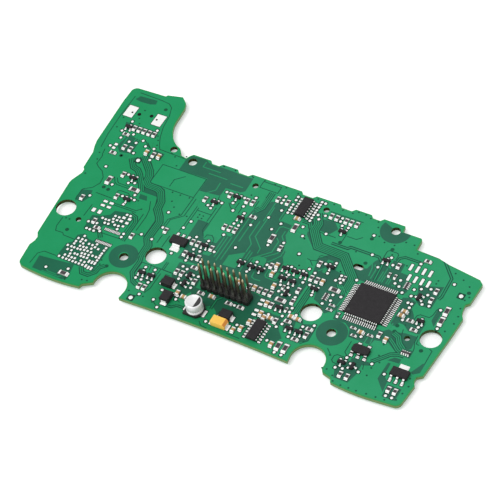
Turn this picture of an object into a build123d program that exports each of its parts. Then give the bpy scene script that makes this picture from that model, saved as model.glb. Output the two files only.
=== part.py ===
from build123d import *

import os

# Multimedia control board: one irregular printed circuit board with surface-mount parts on its
# upper side and a pin header soldered through it.
# Millimetres. +Z is up, out of the populated side. The origin is the centre of the rectangle of
# screw holes, on the board's underside. +X runs along the board, +Y towards its rear edge.

# ---------------------------------------------------------------- driving dimensions
BOARD_T = 1.6

SCREW_SPAN_X = 85.0
SCREW_SPAN_Y = 50.0
SCREW_HOLE_R = 1.75
REAR_MARGIN = 3.35  # screw row to the long rear edge
FRONT_MARGIN = 17.0  # screw row to the middle of the front edge
WING_REACH = 38.6  # screw column to the outer edge of a wing

POST_HOLE_R = 3.9  # clearance holes for the housing's posts
OUTER_POST = (32.5, -13.4)  # out from the screw column
INNER_POST = (31.9, -19.85)
OUTER_PEG_HOLE_R = 1.1  # locating pegs on the wings
OUTER_PEG = (25.0, -16.5)  # out from the screw column
PEG_HOLE_R = 1.2  # locating pegs along the rear edge
PEG_X = 14.85
PEG_FROM_REAR = 4.4
TOOLING_HOLE_R = 1.45
TOOLING_HOLE = (-9.8, 2.7)  # from the left rear screw
TAB_SLOT_LENGTH = 4.0
TAB_SLOT_WIDTH = 2.4
TAB_SLOT = (-4.8, 4.9)  # from the right screw column
WIRE_NOTCH_R = 6.3  # half-round cut-outs in the front edge
WIRE_NOTCH_INSET = 2.2  # in from the screw column
WIRE_NOTCH_RISE = 3.6  # centre above the middle of the front edge
REAR_NOTCH_DEPTH = 1.3
REAR_NOTCH_RUNOUT = 1.1
CLIP_BITE = 2.0  # snap-clip bites in the side edges
WING_CORNER_R = 2.4

SMALL_GAP = 0.08  # stand-off under a moulded body
LEAD_T = 0.15
TAB_T = 0.25
DRAFT = 7.0

QFP_BODY = 14.0
QFP_HEIGHT = 1.4
QFP_PITCH = 0.8
QFP_PER_SIDE = 16
QFP_LEAD_REACH = 1.6
QFP_LEAD_W = 0.35

SOIC_LENGTH = 8.7
SOIC_WIDTH = 3.9
SOIC_HEIGHT = 1.6
SOIC_PITCH = 1.27
SOIC_PER_SIDE = 7
SOIC_LEAD_REACH = 1.1
SOIC_LEAD_W = 0.42

DRIVER_LENGTH = 6.6
DRIVER_WIDTH = 3.5
DRIVER_HEIGHT = 1.5
DRIVER_CORNER = 0.8
DRIVER_PITCH = 2.54
DRIVER_WIDE_PITCH = 3.6
DRIVER_LEAD_REACH = 1.0
DRIVER_LEAD_W = 1.0

REGULATOR_LENGTH = 6.5
REGULATOR_WIDTH = 3.5
REGULATOR_HEIGHT = 1.6
REGULATOR_PITCH = 2.3
REGULATOR_LEAD_REACH = 1.75
REGULATOR_LEAD_W = 0.7
REGULATOR_TAB_W = 3.0

TRANSISTOR_LENGTH = 2.9
TRANSISTOR_WIDTH = 1.3
TRANSISTOR_HEIGHT = 0.95
TRANSISTOR_PITCH = 1.9
TRANSISTOR_LEAD_REACH = 0.9
TRANSISTOR_LEAD_W = 0.42

DIODE_LENGTH = 4.3
DIODE_WIDTH = 3.6
DIODE_HEIGHT = 2.2
DIODE_STRIP_W = 2.0

TANTALUM_LENGTH = 5.8
TANTALUM_WIDTH = 3.2
TANTALUM_HEIGHT = 2.5
TANTALUM_BEVEL = 0.6
TANTALUM_STRIP_W = 2.2

CAN_R = 3.15
CAN_HEIGHT = 5.4
CAN_BASE = 6.6
CAN_BASE_T = 1.0
CAN_BASE_CHAMFER = 1.4
CAN_CRIMP = 0.25
CAN_STRIP_T = 0.05

PIN_PITCH = 2.54
PINS_PER_ROW = 8
PIN_ROWS_COUNT = 2
PIN_SIDE = 0.64
PIN_ABOVE = 13.6  # pin tips above the board
PIN_BELOW = 1.2  # trimmed tails below the board
HEADER_BASE_T = 2.0
HEADER_BASE_TRIM = 0.35  # the base stops this far short of a full pitch on each side

CHIP_T = 0.5
# Chips: length, width and height, the bare length between the tinned ends, and how far the
# solder runs out over the land.
CHIP = (2.0, 1.25, CHIP_T, 1.2, 0.3)
POWER_CHIP = (3.2, 1.6, CHIP_T, 2.2, 0.4)
SMALL_CHIP = (1.6, 0.8, CHIP_T, 0.9, 0.3)
CERAMIC = (2.0, 1.25, 0.85, 1.1, 0.3)
SOLDER_SPREAD = 0.05  # a chip's solder is wider than its body by this much on each side
ARRAY_LENGTH = 3.2
ARRAY_WIDTH = 1.6
ARRAY_PER_SIDE = 4
ARRAY_LAND_D = 0.35


# ---------------------------------------------------------------- where the parts are fitted
# (x, y) of each part's centre. Those on a wing are placed from its column of screws, those at
# the rear of the left wing also from the rear row, and the others from the middle.
# "Along Y" parts have their length from front to rear.
ZONES = {
    "left": (-SCREW_SPAN_X / 2, 0.0),
    "left rear": (-SCREW_SPAN_X / 2, SCREW_SPAN_Y / 2),
    "middle": (0.0, 0.0),
    "right": (SCREW_SPAN_X / 2, 0.0),
}

PROCESSOR = {"right": [(6.9, -8.7)]}
REAR_LOGIC = {"middle": [(7.15, 21.2)]}
FRONT_LOGIC = {"middle": [(18.4, -35.1)]}
DRIVER = {"right": [(13.15, -28.0)]}
REGULATOR_TAB_FRONT = {"middle": [(-27.2, -11.1)]}
REGULATOR_TAB_REAR = {"right": [(29.7, -31.4)]}
DIODES_ALONG_X = {"middle": [(-20.9, -29.4), (5.5, -33.9)]}
DIODES_ALONG_Y = {"middle": [(-18.1, -35.3)]}
TANTALUM = {"middle": [(5.05, -37.8)]}
ELECTROLYTIC = {"middle": [(-6.0, -35.8)]}
HEADER = (0.5, -24.6)
ARRAYS_ALONG_X = {"right": [(27.4, -22.5)]}
ARRAYS_ALONG_Y = {"middle": [(33.4, -11.9)], "right": [(14.8, 4.0)]}

# Three-lead transistors, by the side that the single lead is on.
SINGLE_LEAD_REAR = {
    "left rear": [(-31.6, 5.7)],
    "middle": [
        (-12, 7.8), (-17.65, -8.9), (14.5, -6.4), (19.4, -10.8), (22, -6.4), (-19.85, -14.8),
        (20.8, -22.9), (-32.4, -28.9), (-28.5, -28.9), (28.35, -29.6), (32.2, -29.65),
    ],
    "right": [(3.15, 11.1), (26.1, -8.3)],
}
SINGLE_LEAD_FRONT = {
    "left": [(-16.4, 8.8), (-13.1, -1.2)],
    "middle": [
        (-18.2, 16.1), (25.1, 16.8), (-24.75, 10.6), (28.9, 0.6), (-1.7, -10.6), (2.6, -10.6),
        (6.3, -10.6), (15.5, -10.8), (18.3, -6.4), (28.2, -10.6),
    ],
    "right": [(9.2, -35)],
}
SINGLE_LEAD_LEFT = {"middle": [(-15.8, -23.2), (-15.8, -27.1)], "right": [(21, 0.95)]}
SINGLE_LEAD_RIGHT = {"middle": [(20, -16.2)], "right": [(13.4, -35)]}

# Chip resistors, 2.0 x 1.25.
RESISTORS_ALONG_Y = {
    "left rear": [
        (-29.4, 6.1), (-27.2, 6.1), (-25, 6.1), (-22.8, 6.1), (-20.6, 6.1), (-27.9, -3.8),
        (-25.2, -3.8), (-15.5, -2.9),
    ],
    "left": [(-20.9, 9.1), (-17.6, -1.2), (-29.4, -6.8), (-19, -14.8), (-2.3, -15.5)],
    "middle": [
        (-3.7, 21.3), (0.3, 21.3), (18.1, 21.9), (20.4, 21.9), (24.1, 21.9), (26.2, 21.9),
        (28.5, 21.9), (-21.1, 16.1), (-13.9, 16.1), (-11.6, 16.1), (-28.7, 10.7), (-15.5, 1.9),
        (-13.3, 1.9), (-11.1, 1.9), (8.1, 1.2), (24.6, 0.5), (-34.5, -8.3), (-22.6, -9),
        (-20.4, -9), (-14.8, -8.9), (9.1, -7.3), (24.9, -6.5), (27.2, -6.5), (-22.6, -14.7),
        (-17, -14.7), (23.3, -13.3), (-21, -23.3), (-18.8, -23.3), (6.4, -18.6), (10.6, -18.6),
        (12.8, -18.6), (15, -18.6), (17.7, -23), (23.8, -18.6), (-12.7, -24.8), (22.3, -28.5),
        (35.1, -29.7), (-30.2, -34.4), (-28.1, -34.4),
    ],
    "right": [
        (8.2, 10.8), (25.4, 5.8), (25.4, 1.6), (15.7, -19.1), (11.1, -39.6), (13.7, -39.6),
        (29, -38.5), (31.4, -38.5),
    ],
}
RESISTORS_ALONG_X = {
    "left rear": [(-30.9, 2.1), (-30.6, -8)],
    "left": [(-16.4, -17.3)],
    "middle": [
        (-8.2, 10.1), (-16, -19.3), (-8, -28.4), (3.4, -28.4), (8.1, -28.4),
        (26.3, -27), (34.9, -27), (32.3, -32.9),
    ],
    "right": [(16.8, 16.7), (22.7, -9.5), (25.5, -12.6)],
}
# Larger chip resistors, 3.2 x 1.6.
POWER_RESISTORS_ALONG_Y = {
    "left": [(-24.6, 4.5)],
    "middle": [(8.4, 11.7), (3.1, 4), (28.4, -37.7), (31.2, -37.7)],
    "right": [(32.5, -0.7), (32.6, -5.4)],
}
POWER_RESISTORS_ALONG_X = {
    "left": [(-13.2, 4.1), (-16.2, -40.7)],
    "middle": [(34.9, -8), (19.5, -19.7)],
}
# Smaller chip resistors, 1.6 x 0.8.
SMALL_RESISTORS_ALONG_Y = {
    "middle": [(35.7, -1.9), (17.7, -14.2), (23.4, -22.6)],
    "right": [(7, 5.9), (9.3, 5.9), (-1.3, -17.3)],
}
SMALL_RESISTORS_ALONG_X = {
    "right": [(-5.3, -14.4), (-5.3, -16.5), (6.1, -20.2), (7.7, -23.1), (12.9, -20.8)],
}
# Ceramic chip capacitors, 2.0 x 1.25.
CERAMICS_ALONG_Y = {
    "left rear": [(-18.5, -2.9), (-13.1, -2.9)],
    "middle": [
        (11, -6.4), (11.2, -10.4), (29.4, -6.5), (14.4, -15.1), (2.1, -18.5), (8.5, -18.5),
        (15.9, -23), (16.1, -27.8), (17.9, -28.9), (-15.7, -31.7), (14.2, -32.6), (10.6, -38.1),
        (12.8, -36.3), (25.9, -38.1),
    ],
    "right": [(18.7, -20.2)],
}
CERAMICS_ALONG_X = {
    "middle": [
        (7.1, 15.8), (-3.6, -28.3), (20, -28.3), (26.5, -24.7), (29.15, -24.8), (-12.8, -32.5),
    ],
    "right": [(18.8, -8.7), (19.2, -6.7), (9.4, -20.9)],
}


# ---------------------------------------------------------------- shared helpers
nodes = {}


def add(node, solids):
    """Put solids into a named node."""
    nodes.setdefault(node, []).extend(solids)


def spots(by_zone, turn=0):
    """Every (x, y, turn) of a placement list, worked out from its zones."""
    places = []
    for zone, points in by_zone.items():
        x0, y0 = ZONES[zone]
        places += [(x0 + x, y0 + y, turn) for x, y in points]
    return places


def placed(template, at):
    """Copies of a template's solids on the board's upper face, at each (x, y, turn)."""
    return [Pos(x, y, BOARD_T) * Rot(0, 0, turn) * solid for x, y, turn in at for solid in template]


def block(length, width, height):
    """A box standing on its place."""
    return Box(length, width, height, align=(Align.CENTER, Align.CENTER, Align.MIN))


def moulded_body(length, width, height, corner=0.0):
    """A moulded body whose sides draft both ways from the parting line, held SMALL_GAP up."""
    section = Rectangle(length, width)
    if corner:
        section = chamfer(section.vertices(), corner)
    half = height / 2
    upper = extrude(section, half, taper=DRAFT)
    lower = extrude(section, -half, taper=DRAFT)
    return Pos(0, 0, SMALL_GAP + half) * (upper + lower).solid()


def lead_from(profile, width):
    """A strip of metal with this side profile, centred across its width."""
    outline = make_face(Polyline(*profile, close=True))
    return extrude(Plane.XZ * outline, width / 2, both=True).solid()


def gull_wing(side, exit_height, overhang, shoulder, foot, width):
    """A lead that leaves the body's side level, turns down over a shoulder and ends in a foot."""
    half = LEAD_T / 2
    knee = side + shoulder
    toe = side + overhang
    ankle = toe - foot
    profile = (
        (side, exit_height + half), (knee, exit_height + half), (ankle + half, LEAD_T), (toe, 0),
        (ankle - half, 0), (side, exit_height - half),
    )
    return lead_from(profile, width)


def plain_wing(side, exit_height, overhang, shoulder, foot, thickness, width):
    """A gull-wing lead with fewer bends, for the coarser packages."""
    half = thickness / 2
    toe = side + overhang
    profile = (
        (side, exit_height + half), (side + shoulder, exit_height + half), (toe, 0),
        (toe - foot, 0), (side, exit_height - half),
    )
    return lead_from(profile, width)


def wedge_wing(side, exit_height, overhang, width):
    """A lead too small to show its bends, drawn with its solder as one slope down to the toe."""
    return lead_from(((side, exit_height), (side + overhang, 0), (side, 0)), width)


def row_of(lead, count, pitch, turn):
    """A row of equal leads, centred, facing the given way."""
    start = -(count - 1) * pitch / 2
    return [Rot(0, 0, turn) * Pos(0, start + i * pitch, 0) * lead for i in range(count)]


# ---------------------------------------------------------------- the laminate
HALF_X = SCREW_SPAN_X / 2
REAR = SCREW_SPAN_Y / 2 + REAR_MARGIN
FRONT = -SCREW_SPAN_Y / 2 - FRONT_MARGIN
EAST = HALF_X + WING_REACH
NOTCH_X = HALF_X - WIRE_NOTCH_INSET
NOTCH_Y = FRONT + WIRE_NOTCH_RISE


def left_wing_rear():
    """The raised rear edge of the left wing and the round bay beside it."""
    west = -EAST
    edge = Polyline(
        (west - 2.5, REAR + 21.7), (west + 11.7, REAR + 22.1), (west + 12.1, REAR + 22.9),
        (west + 18.2, REAR + 24.3), (west + 20.8, REAR + 22.0), (west + 21.7, REAR + 19.6),
        (west + 22.1, REAR + 14.1),
    )
    bay = ThreePointArc(
        (west + 22.1, REAR + 14.1), (-HALF_X - 14.6, REAR + 6.5), (-HALF_X - 9.9, REAR + 1.5)
    )
    return edge + bay


def rear_edge():
    """From the bay, past the left screw hole, to the right wing's rear corner."""
    return Polyline(
        (-HALF_X - 9.9, REAR + 1.5), (-HALF_X - 7.8, REAR + 0.6), (-HALF_X - 6.6, REAR - 0.8),
        (-HALF_X - 5.9, REAR - 2.3), (-HALF_X - 3.2, REAR - 2.7), (-HALF_X - 2.3, REAR - 1.0),
        (-HALF_X - 1.4, REAR), (HALF_X + 2.1, REAR), (HALF_X + 2.6, REAR - 2.85),
        (HALF_X + 10.4, REAR - 2.85), (HALF_X + 10.6, REAR - 8.2), (HALF_X + 19.5, REAR - 8.6),
        (HALF_X + 24.0, REAR - 9.8), (EAST - 1.6, REAR - 11.7), (EAST, REAR - 13.2),
    )


def right_wing():
    """Down the right side and back along the front of the right wing."""
    side = Polyline(
        (EAST, REAR - 13.2), (EAST - 0.4, 6.0), (EAST + 0.4 - CLIP_BITE, 4.8),
        (EAST + 0.5 - CLIP_BITE, 2.7), (EAST - 1.0, 0.6), (EAST + 0.2, -1.2), (EAST - 0.2, -9.0),
        (EAST - 1.6, -28.6), (EAST - 1.4 - CLIP_BITE, -30.0), (EAST - 1.4 - CLIP_BITE, -31.8),
        (EAST - 2.4, -33.4), (EAST - 3.4, FRONT - 1.4), (EAST - 12.0, FRONT - 2.1),
    )
    front = ThreePointArc(
        (EAST - 12.0, FRONT - 2.1), (EAST - 21.5, FRONT - 2.4), (EAST - 29.2, FRONT - 1.8)
    )
    inner = Polyline(
        (EAST - 29.2, FRONT - 1.8), (EAST - 30.1, FRONT), (EAST - 33.6, FRONT + 0.9),
        (NOTCH_X + WIRE_NOTCH_R, FRONT + 2.2),
    )
    return side + front + inner


def front_edge():
    """The half-round notches and the gently arched edge between them."""
    tip = NOTCH_X - WIRE_NOTCH_R
    top = NOTCH_Y + WIRE_NOTCH_R
    edge = ThreePointArc((NOTCH_X + WIRE_NOTCH_R, FRONT + 2.2), (NOTCH_X, top), (tip, FRONT + 2.2))
    edge += Line((tip, FRONT + 2.2), (tip + 0.3, FRONT - 0.1))
    edge += ThreePointArc((tip + 0.3, FRONT - 0.1), (0, FRONT + 0.7), (-tip - 0.3, FRONT - 0.1))
    edge += Line((-tip - 0.3, FRONT - 0.1), (-tip, FRONT + 2.2))
    edge += ThreePointArc((-tip, FRONT + 2.2), (-NOTCH_X, top), (-NOTCH_X - WIRE_NOTCH_R, FRONT + 2.2))
    return edge


def left_wing():
    """Along the front of the left wing and up its side."""
    west = -EAST
    inner = Polyline(
        (-NOTCH_X - WIRE_NOTCH_R, FRONT + 2.2), (west + 32.2, FRONT + 0.8), (west + 31.0, FRONT),
        (west + 30.6, FRONT - 1.4),
    )
    front = ThreePointArc(
        (west + 30.6, FRONT - 1.4), (west + 21.0, FRONT - 2.3), (west + 8.0, FRONT - 1.8)
    )
    side = Polyline(
        (west + 8.0, FRONT - 1.8), (west + 4.2, FRONT - 1.4), (west + 3.2, -34.0),
        (west + 2.0 + CLIP_BITE, -31.7), (west + 2.0 + CLIP_BITE, -29.8), (west + 2.8, -27.9),
        (west + 1.5, -13.3), (west + 0.5, -2.2), (west + 0.7, -0.7),
        (west + 2.4, 3.8), (west + 2.3, 5.4), (west + 1.4, 6.4), (west + 0.7, 14.4),
        (west - 0.4, 17.2), (west - 1.1, 20.0), (west - 2.5, REAR + 13.6),
        (west - 2.5, REAR + 21.7),
    )
    return inner + front + side


def rounded(face, x, y, radius):
    """The outline with the corner nearest (x, y) rounded."""
    return fillet(face.vertices().sort_by_distance((x, y, 0))[0], radius)


def rear_notch(x, mouth):
    """A shallow routed notch with sloping ends in the rear edge."""
    half = mouth / 2
    floor = half - REAR_NOTCH_RUNOUT
    outline = Polyline(
        (x - half, REAR + 1), (x - half, REAR), (x - floor, REAR - REAR_NOTCH_DEPTH),
        (x + floor, REAR - REAR_NOTCH_DEPTH), (x + half, REAR), (x + half, REAR + 1), close=True,
    )
    return make_face(outline)


def board():
    """The laminate with every hole and notch cut through it."""
    face = make_face(left_wing_rear() + rear_edge() + right_wing() + front_edge() + left_wing())
    face = rounded(face, -EAST - 2.5, REAR + 21.7, WING_CORNER_R)
    face = rounded(face, EAST - 3.4, FRONT - 1.4, WING_CORNER_R)
    face = rounded(face, -EAST + 4.2, FRONT - 1.4, WING_CORNER_R)
    face = rounded(face, HALF_X + 10.4, REAR - 2.85, WING_CORNER_R / 3)

    cuts = []
    for side in (-1, 1):
        column = side * HALF_X
        cuts.append(Pos(column, SCREW_SPAN_Y / 2) * Circle(SCREW_HOLE_R))
        cuts.append(Pos(column, -SCREW_SPAN_Y / 2) * Circle(SCREW_HOLE_R))
        cuts.append(Pos(column + side * OUTER_POST[0], OUTER_POST[1]) * Circle(POST_HOLE_R))
        cuts.append(Pos(column + side * OUTER_PEG[0], OUTER_PEG[1]) * Circle(OUTER_PEG_HOLE_R))
        cuts.append(Pos(side * INNER_POST[0], INNER_POST[1]) * Circle(POST_HOLE_R))
        cuts.append(Pos(side * PEG_X, REAR - PEG_FROM_REAR) * Circle(PEG_HOLE_R))
    slot = SlotOverall(TAB_SLOT_LENGTH, TAB_SLOT_WIDTH)
    tooling_y = SCREW_SPAN_Y / 2 + TOOLING_HOLE[1]
    cuts.append(Pos(-HALF_X + TOOLING_HOLE[0], tooling_y) * Circle(TOOLING_HOLE_R))
    cuts.append(Pos(HALF_X + TAB_SLOT[0], TAB_SLOT[1]) * slot)
    for x, mouth in ((-33.7, 5.1), (-21.6, 6.2), (5.5, 6.2), (21.6, 6.2), (33.7, 5.1)):
        cuts.append(rear_notch(x, mouth))
    for x, y in pin_places():
        cuts.append(Pos(x, y) * Rectangle(PIN_SIDE, PIN_SIDE))
    for cut in cuts:
        face -= cut
    add("board", [extrude(face, BOARD_T).solid()])


# ---------------------------------------------------------------- integrated circuits
def control_processor():
    """Quad flat package with gull-wing leads on all four sides."""
    parting = SMALL_GAP + QFP_HEIGHT / 2
    lead = gull_wing(QFP_BODY / 2, parting, QFP_LEAD_REACH, 0.35, 0.75, QFP_LEAD_W)
    leads = []
    for turn in (0, 90, 180, 270):
        leads += row_of(lead, QFP_PER_SIDE, QFP_PITCH, turn)
    at = spots(PROCESSOR)
    add("processor_body", placed([moulded_body(QFP_BODY, QFP_BODY, QFP_HEIGHT)], at))
    add("processor_leads", placed(leads, at))


def logic_circuits():
    """Two small-outline packages with leads on their long sides."""
    parting = SMALL_GAP + SOIC_HEIGHT / 2
    lead = plain_wing(SOIC_WIDTH / 2, parting, SOIC_LEAD_REACH, 0.3, 0.6, LEAD_T, SOIC_LEAD_W)
    leads = row_of(lead, SOIC_PER_SIDE, SOIC_PITCH, 0) + row_of(lead, SOIC_PER_SIDE, SOIC_PITCH, 180)
    body = moulded_body(SOIC_WIDTH, SOIC_LENGTH, SOIC_HEIGHT)
    for name, place in (("rear_logic", REAR_LOGIC), ("front_logic", FRONT_LOGIC)):
        add(name + "_body", placed([body], spots(place)))
        add(name + "_leads", placed(leads, spots(place)))


def motor_driver():
    """Corner-cut power package: three wide leads in front, two behind."""
    parting = SMALL_GAP + DRIVER_HEIGHT / 2
    side = DRIVER_WIDTH / 2
    lead = plain_wing(side, parting, DRIVER_LEAD_REACH, 0.2, 0.5, LEAD_T, DRIVER_LEAD_W)
    leads = row_of(lead, 2, DRIVER_WIDE_PITCH, 90) + row_of(lead, 3, DRIVER_PITCH, -90)
    body = moulded_body(DRIVER_LENGTH, DRIVER_WIDTH, DRIVER_HEIGHT, corner=DRIVER_CORNER)
    add("driver_body", placed([body], spots(DRIVER)))
    add("driver_leads", placed(leads, spots(DRIVER)))


def voltage_regulators():
    """Two power packages: three leads on one side and a wide heat tab on the other."""
    parting = SMALL_GAP + REGULATOR_HEIGHT / 2
    side = REGULATOR_WIDTH / 2
    reach = REGULATOR_LEAD_REACH
    lead = plain_wing(side, parting, reach, 0.3, 0.8, TAB_T, REGULATOR_LEAD_W)
    tab = Rot(0, 0, -90) * plain_wing(side, parting, reach, 0.3, 0.9, TAB_T, REGULATOR_TAB_W)
    leads = row_of(lead, 3, REGULATOR_PITCH, 90)
    body = moulded_body(REGULATOR_LENGTH, REGULATOR_WIDTH, REGULATOR_HEIGHT)
    places = (("left_regulator", REGULATOR_TAB_FRONT, 0), ("right_regulator", REGULATOR_TAB_REAR, 180))
    for name, place, turn in places:
        at = spots(place, turn)
        add(name + "_body", placed([body], at))
        add(name + "_leads", placed(leads, at))
        add(name + "_tab", placed([tab], at))


def transistors():
    """Small three-lead packages; the single lead faces the rear before turning."""
    parting = SMALL_GAP + TRANSISTOR_HEIGHT / 2
    side = TRANSISTOR_WIDTH / 2
    lead = wedge_wing(side, parting, TRANSISTOR_LEAD_REACH, TRANSISTOR_LEAD_W)
    leads = row_of(lead, 1, TRANSISTOR_PITCH, 90) + row_of(lead, 2, TRANSISTOR_PITCH, -90)
    body = Pos(0, 0, SMALL_GAP) * block(TRANSISTOR_LENGTH, TRANSISTOR_WIDTH, TRANSISTOR_HEIGHT)
    at = spots(SINGLE_LEAD_REAR, 0) + spots(SINGLE_LEAD_FRONT, 180)
    at += spots(SINGLE_LEAD_LEFT, 90) + spots(SINGLE_LEAD_RIGHT, -90)
    add("transistor_bodies", placed([body], at))
    add("transistor_leads", placed(leads, at))


# ---------------------------------------------------------------- chips
def chip(length, width, height, bare, land):
    """A fired chip and its two tinned ends, each drawn down to its land in one slope of solder."""
    body = block(bare, width, height)
    reach = (length - bare) / 2 + land
    side = bare / 2
    slope = lead_from(((side, 0), (side + reach, 0), (side, height)), width + 2 * SOLDER_SPREAD)
    return body, [slope, Rot(0, 0, 180) * slope]


def chips():
    """Every chip resistor and ceramic capacitor."""
    kinds = (
        ("resistor", CHIP, RESISTORS_ALONG_X, RESISTORS_ALONG_Y),
        ("power_resistor", POWER_CHIP, POWER_RESISTORS_ALONG_X, POWER_RESISTORS_ALONG_Y),
        ("small_resistor", SMALL_CHIP, SMALL_RESISTORS_ALONG_X, SMALL_RESISTORS_ALONG_Y),
        ("ceramic_capacitor", CERAMIC, CERAMICS_ALONG_X, CERAMICS_ALONG_Y),
    )
    for name, size, along_x, along_y in kinds:
        body, ends = chip(*size)
        at = spots(along_x, 0) + spots(along_y, 90)
        add(name + "_bodies", placed([body], at))
        add(name + "_ends", placed(ends, at))


def resistor_arrays():
    """Four resistors in one chip, with a tinned end for each on both long sides."""
    pitch = ARRAY_LENGTH / ARRAY_PER_SIDE
    side = ARRAY_WIDTH / 2 - ARRAY_LAND_D
    slope = lead_from(((side, 0), (ARRAY_WIDTH / 2 + ARRAY_LAND_D, 0), (side, CHIP_T)), pitch / 2)
    body = block(ARRAY_LENGTH, 2 * side, CHIP_T)
    lands = row_of(slope, ARRAY_PER_SIDE, pitch, 90) + row_of(slope, ARRAY_PER_SIDE, pitch, -90)
    at = spots(ARRAYS_ALONG_X, 0) + spots(ARRAYS_ALONG_Y, 90)
    add("array_bodies", placed([body], at))
    add("array_ends", placed(lands, at))


# ---------------------------------------------------------------- larger parts
def wrapped_strip(side, height, width, foot):
    """A flat terminal that leaves a body's end at its parting line and turns under it."""
    profile = (
        (side, height), (side + LEAD_T, height), (side + LEAD_T, 0), (side - foot, 0),
        (side - foot, SMALL_GAP), (side, SMALL_GAP),
    )
    return lead_from(profile, width)


def diodes():
    """Power diodes in moulded blocks, with strip terminals bent down their ends."""
    strip = wrapped_strip(DIODE_LENGTH / 2, DIODE_HEIGHT / 2 + SMALL_GAP, DIODE_STRIP_W, 0.9)
    body = moulded_body(DIODE_LENGTH, DIODE_WIDTH, DIODE_HEIGHT)
    at = spots(DIODES_ALONG_X, 0) + spots(DIODES_ALONG_Y, 90)
    add("diode_bodies", placed([body], at))
    add("diode_terminals", placed([strip, Rot(0, 0, 180) * strip], at))


def tantalum_capacitor():
    """Moulded tantalum capacitor with a bevelled upper edge at one end."""
    half = TANTALUM_HEIGHT / 2
    strip = wrapped_strip(TANTALUM_LENGTH / 2, half + SMALL_GAP, TANTALUM_STRIP_W, 0.9)
    body = moulded_body(TANTALUM_LENGTH, TANTALUM_WIDTH, TANTALUM_HEIGHT)
    marked_edge = body.edges().group_by(Axis.Z)[-1].sort_by(Axis.X)[-1]
    body = body.chamfer(TANTALUM_BEVEL, None, [marked_edge])
    add("tantalum_body", placed([body], spots(TANTALUM)))
    add("tantalum_terminals", placed([strip, Rot(0, 0, 180) * strip], spots(TANTALUM)))


def electrolytic_capacitor():
    """Aluminium can crimped above a moulded base, with two flat terminals."""
    lift = SMALL_GAP + CAN_STRIP_T
    crimp = CAN_BASE_T + 0.8
    rim = CAN_HEIGHT - CAN_CRIMP
    section = Polyline(
        (0, CAN_BASE_T), (CAN_R, CAN_BASE_T), (CAN_R - CAN_CRIMP, crimp), (CAN_R, crimp + CAN_CRIMP),
        (CAN_R, rim), (CAN_R - CAN_CRIMP, CAN_HEIGHT), (0, CAN_HEIGHT), close=True,
    )
    can = revolve(Plane.XZ * make_face(section), Axis.Z).solid()
    outline = Rectangle(CAN_BASE, CAN_BASE)
    outline = chamfer(outline.vertices().group_by(Axis.X)[-1], CAN_BASE_CHAMFER)
    base = Pos(0, 0, lift) * extrude(outline, CAN_BASE_T - lift).solid()
    strip = Pos(CAN_BASE / 2 - 1.0, 0, 0) * block(2.6, 0.8, lift)
    add("electrolytic_can", placed([can], spots(ELECTROLYTIC)))
    add("electrolytic_base", placed([base], spots(ELECTROLYTIC)))
    add("electrolytic_terminals", placed([strip, Rot(0, 0, 180) * strip], spots(ELECTROLYTIC)))


# ---------------------------------------------------------------- pin header
def pin_places():
    """The header's pin positions, column by column."""
    places = []
    for i in range(PINS_PER_ROW):
        for j in range(PIN_ROWS_COUNT):
            x = HEADER[0] + (i - (PINS_PER_ROW - 1) / 2) * PIN_PITCH
            y = HEADER[1] + (j - (PIN_ROWS_COUNT - 1) / 2) * PIN_PITCH
            places.append((x, y))
    return places


def pin_header():
    """Square pins through a moulded strip, trimmed under the board."""
    length = PINS_PER_ROW * PIN_PITCH - 2 * HEADER_BASE_TRIM
    width = PIN_ROWS_COUNT * PIN_PITCH - 2 * HEADER_BASE_TRIM
    base = Pos(HEADER[0], HEADER[1]) * Rectangle(length, width)
    for x, y in pin_places():
        base -= Pos(x, y) * Rectangle(PIN_SIDE, PIN_SIDE)
    add("header_base", [extrude(Pos(0, 0, BOARD_T) * base, HEADER_BASE_T).solid()])

    pin = Pos(0, 0, -PIN_BELOW) * block(PIN_SIDE, PIN_SIDE, PIN_BELOW + BOARD_T + PIN_ABOVE)
    add("header_pins", [Pos(x, y, 0) * pin for x, y in pin_places()])


def main():
    board()
    control_processor()
    logic_circuits()
    motor_driver()
    voltage_regulators()
    transistors()
    chips()
    resistor_arrays()
    diodes()
    tantalum_capacitor()
    electrolytic_capacitor()
    pin_header()
    os.makedirs("parts", exist_ok=True)
    for name, solids in nodes.items():
        export_step(Compound(solids), f"parts/{name}.step")
        print(name, len(solids))


main()
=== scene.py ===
# %% [markdown]
# # A multimedia control board, dressed for the camera
#
# The real thing is one green printed circuit board with a few hundred small parts soldered on
# its upper side. The solid model already has the board, the packages and the chips at their true
# sizes. This lesson loads that model, gives each of its parts a finish, and adds what is too thin
# or too small for a solid: copper under the green lacquer, solder, test dots and rounded edges.
#
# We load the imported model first, because every position below is read from it.

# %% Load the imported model
import math

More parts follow.
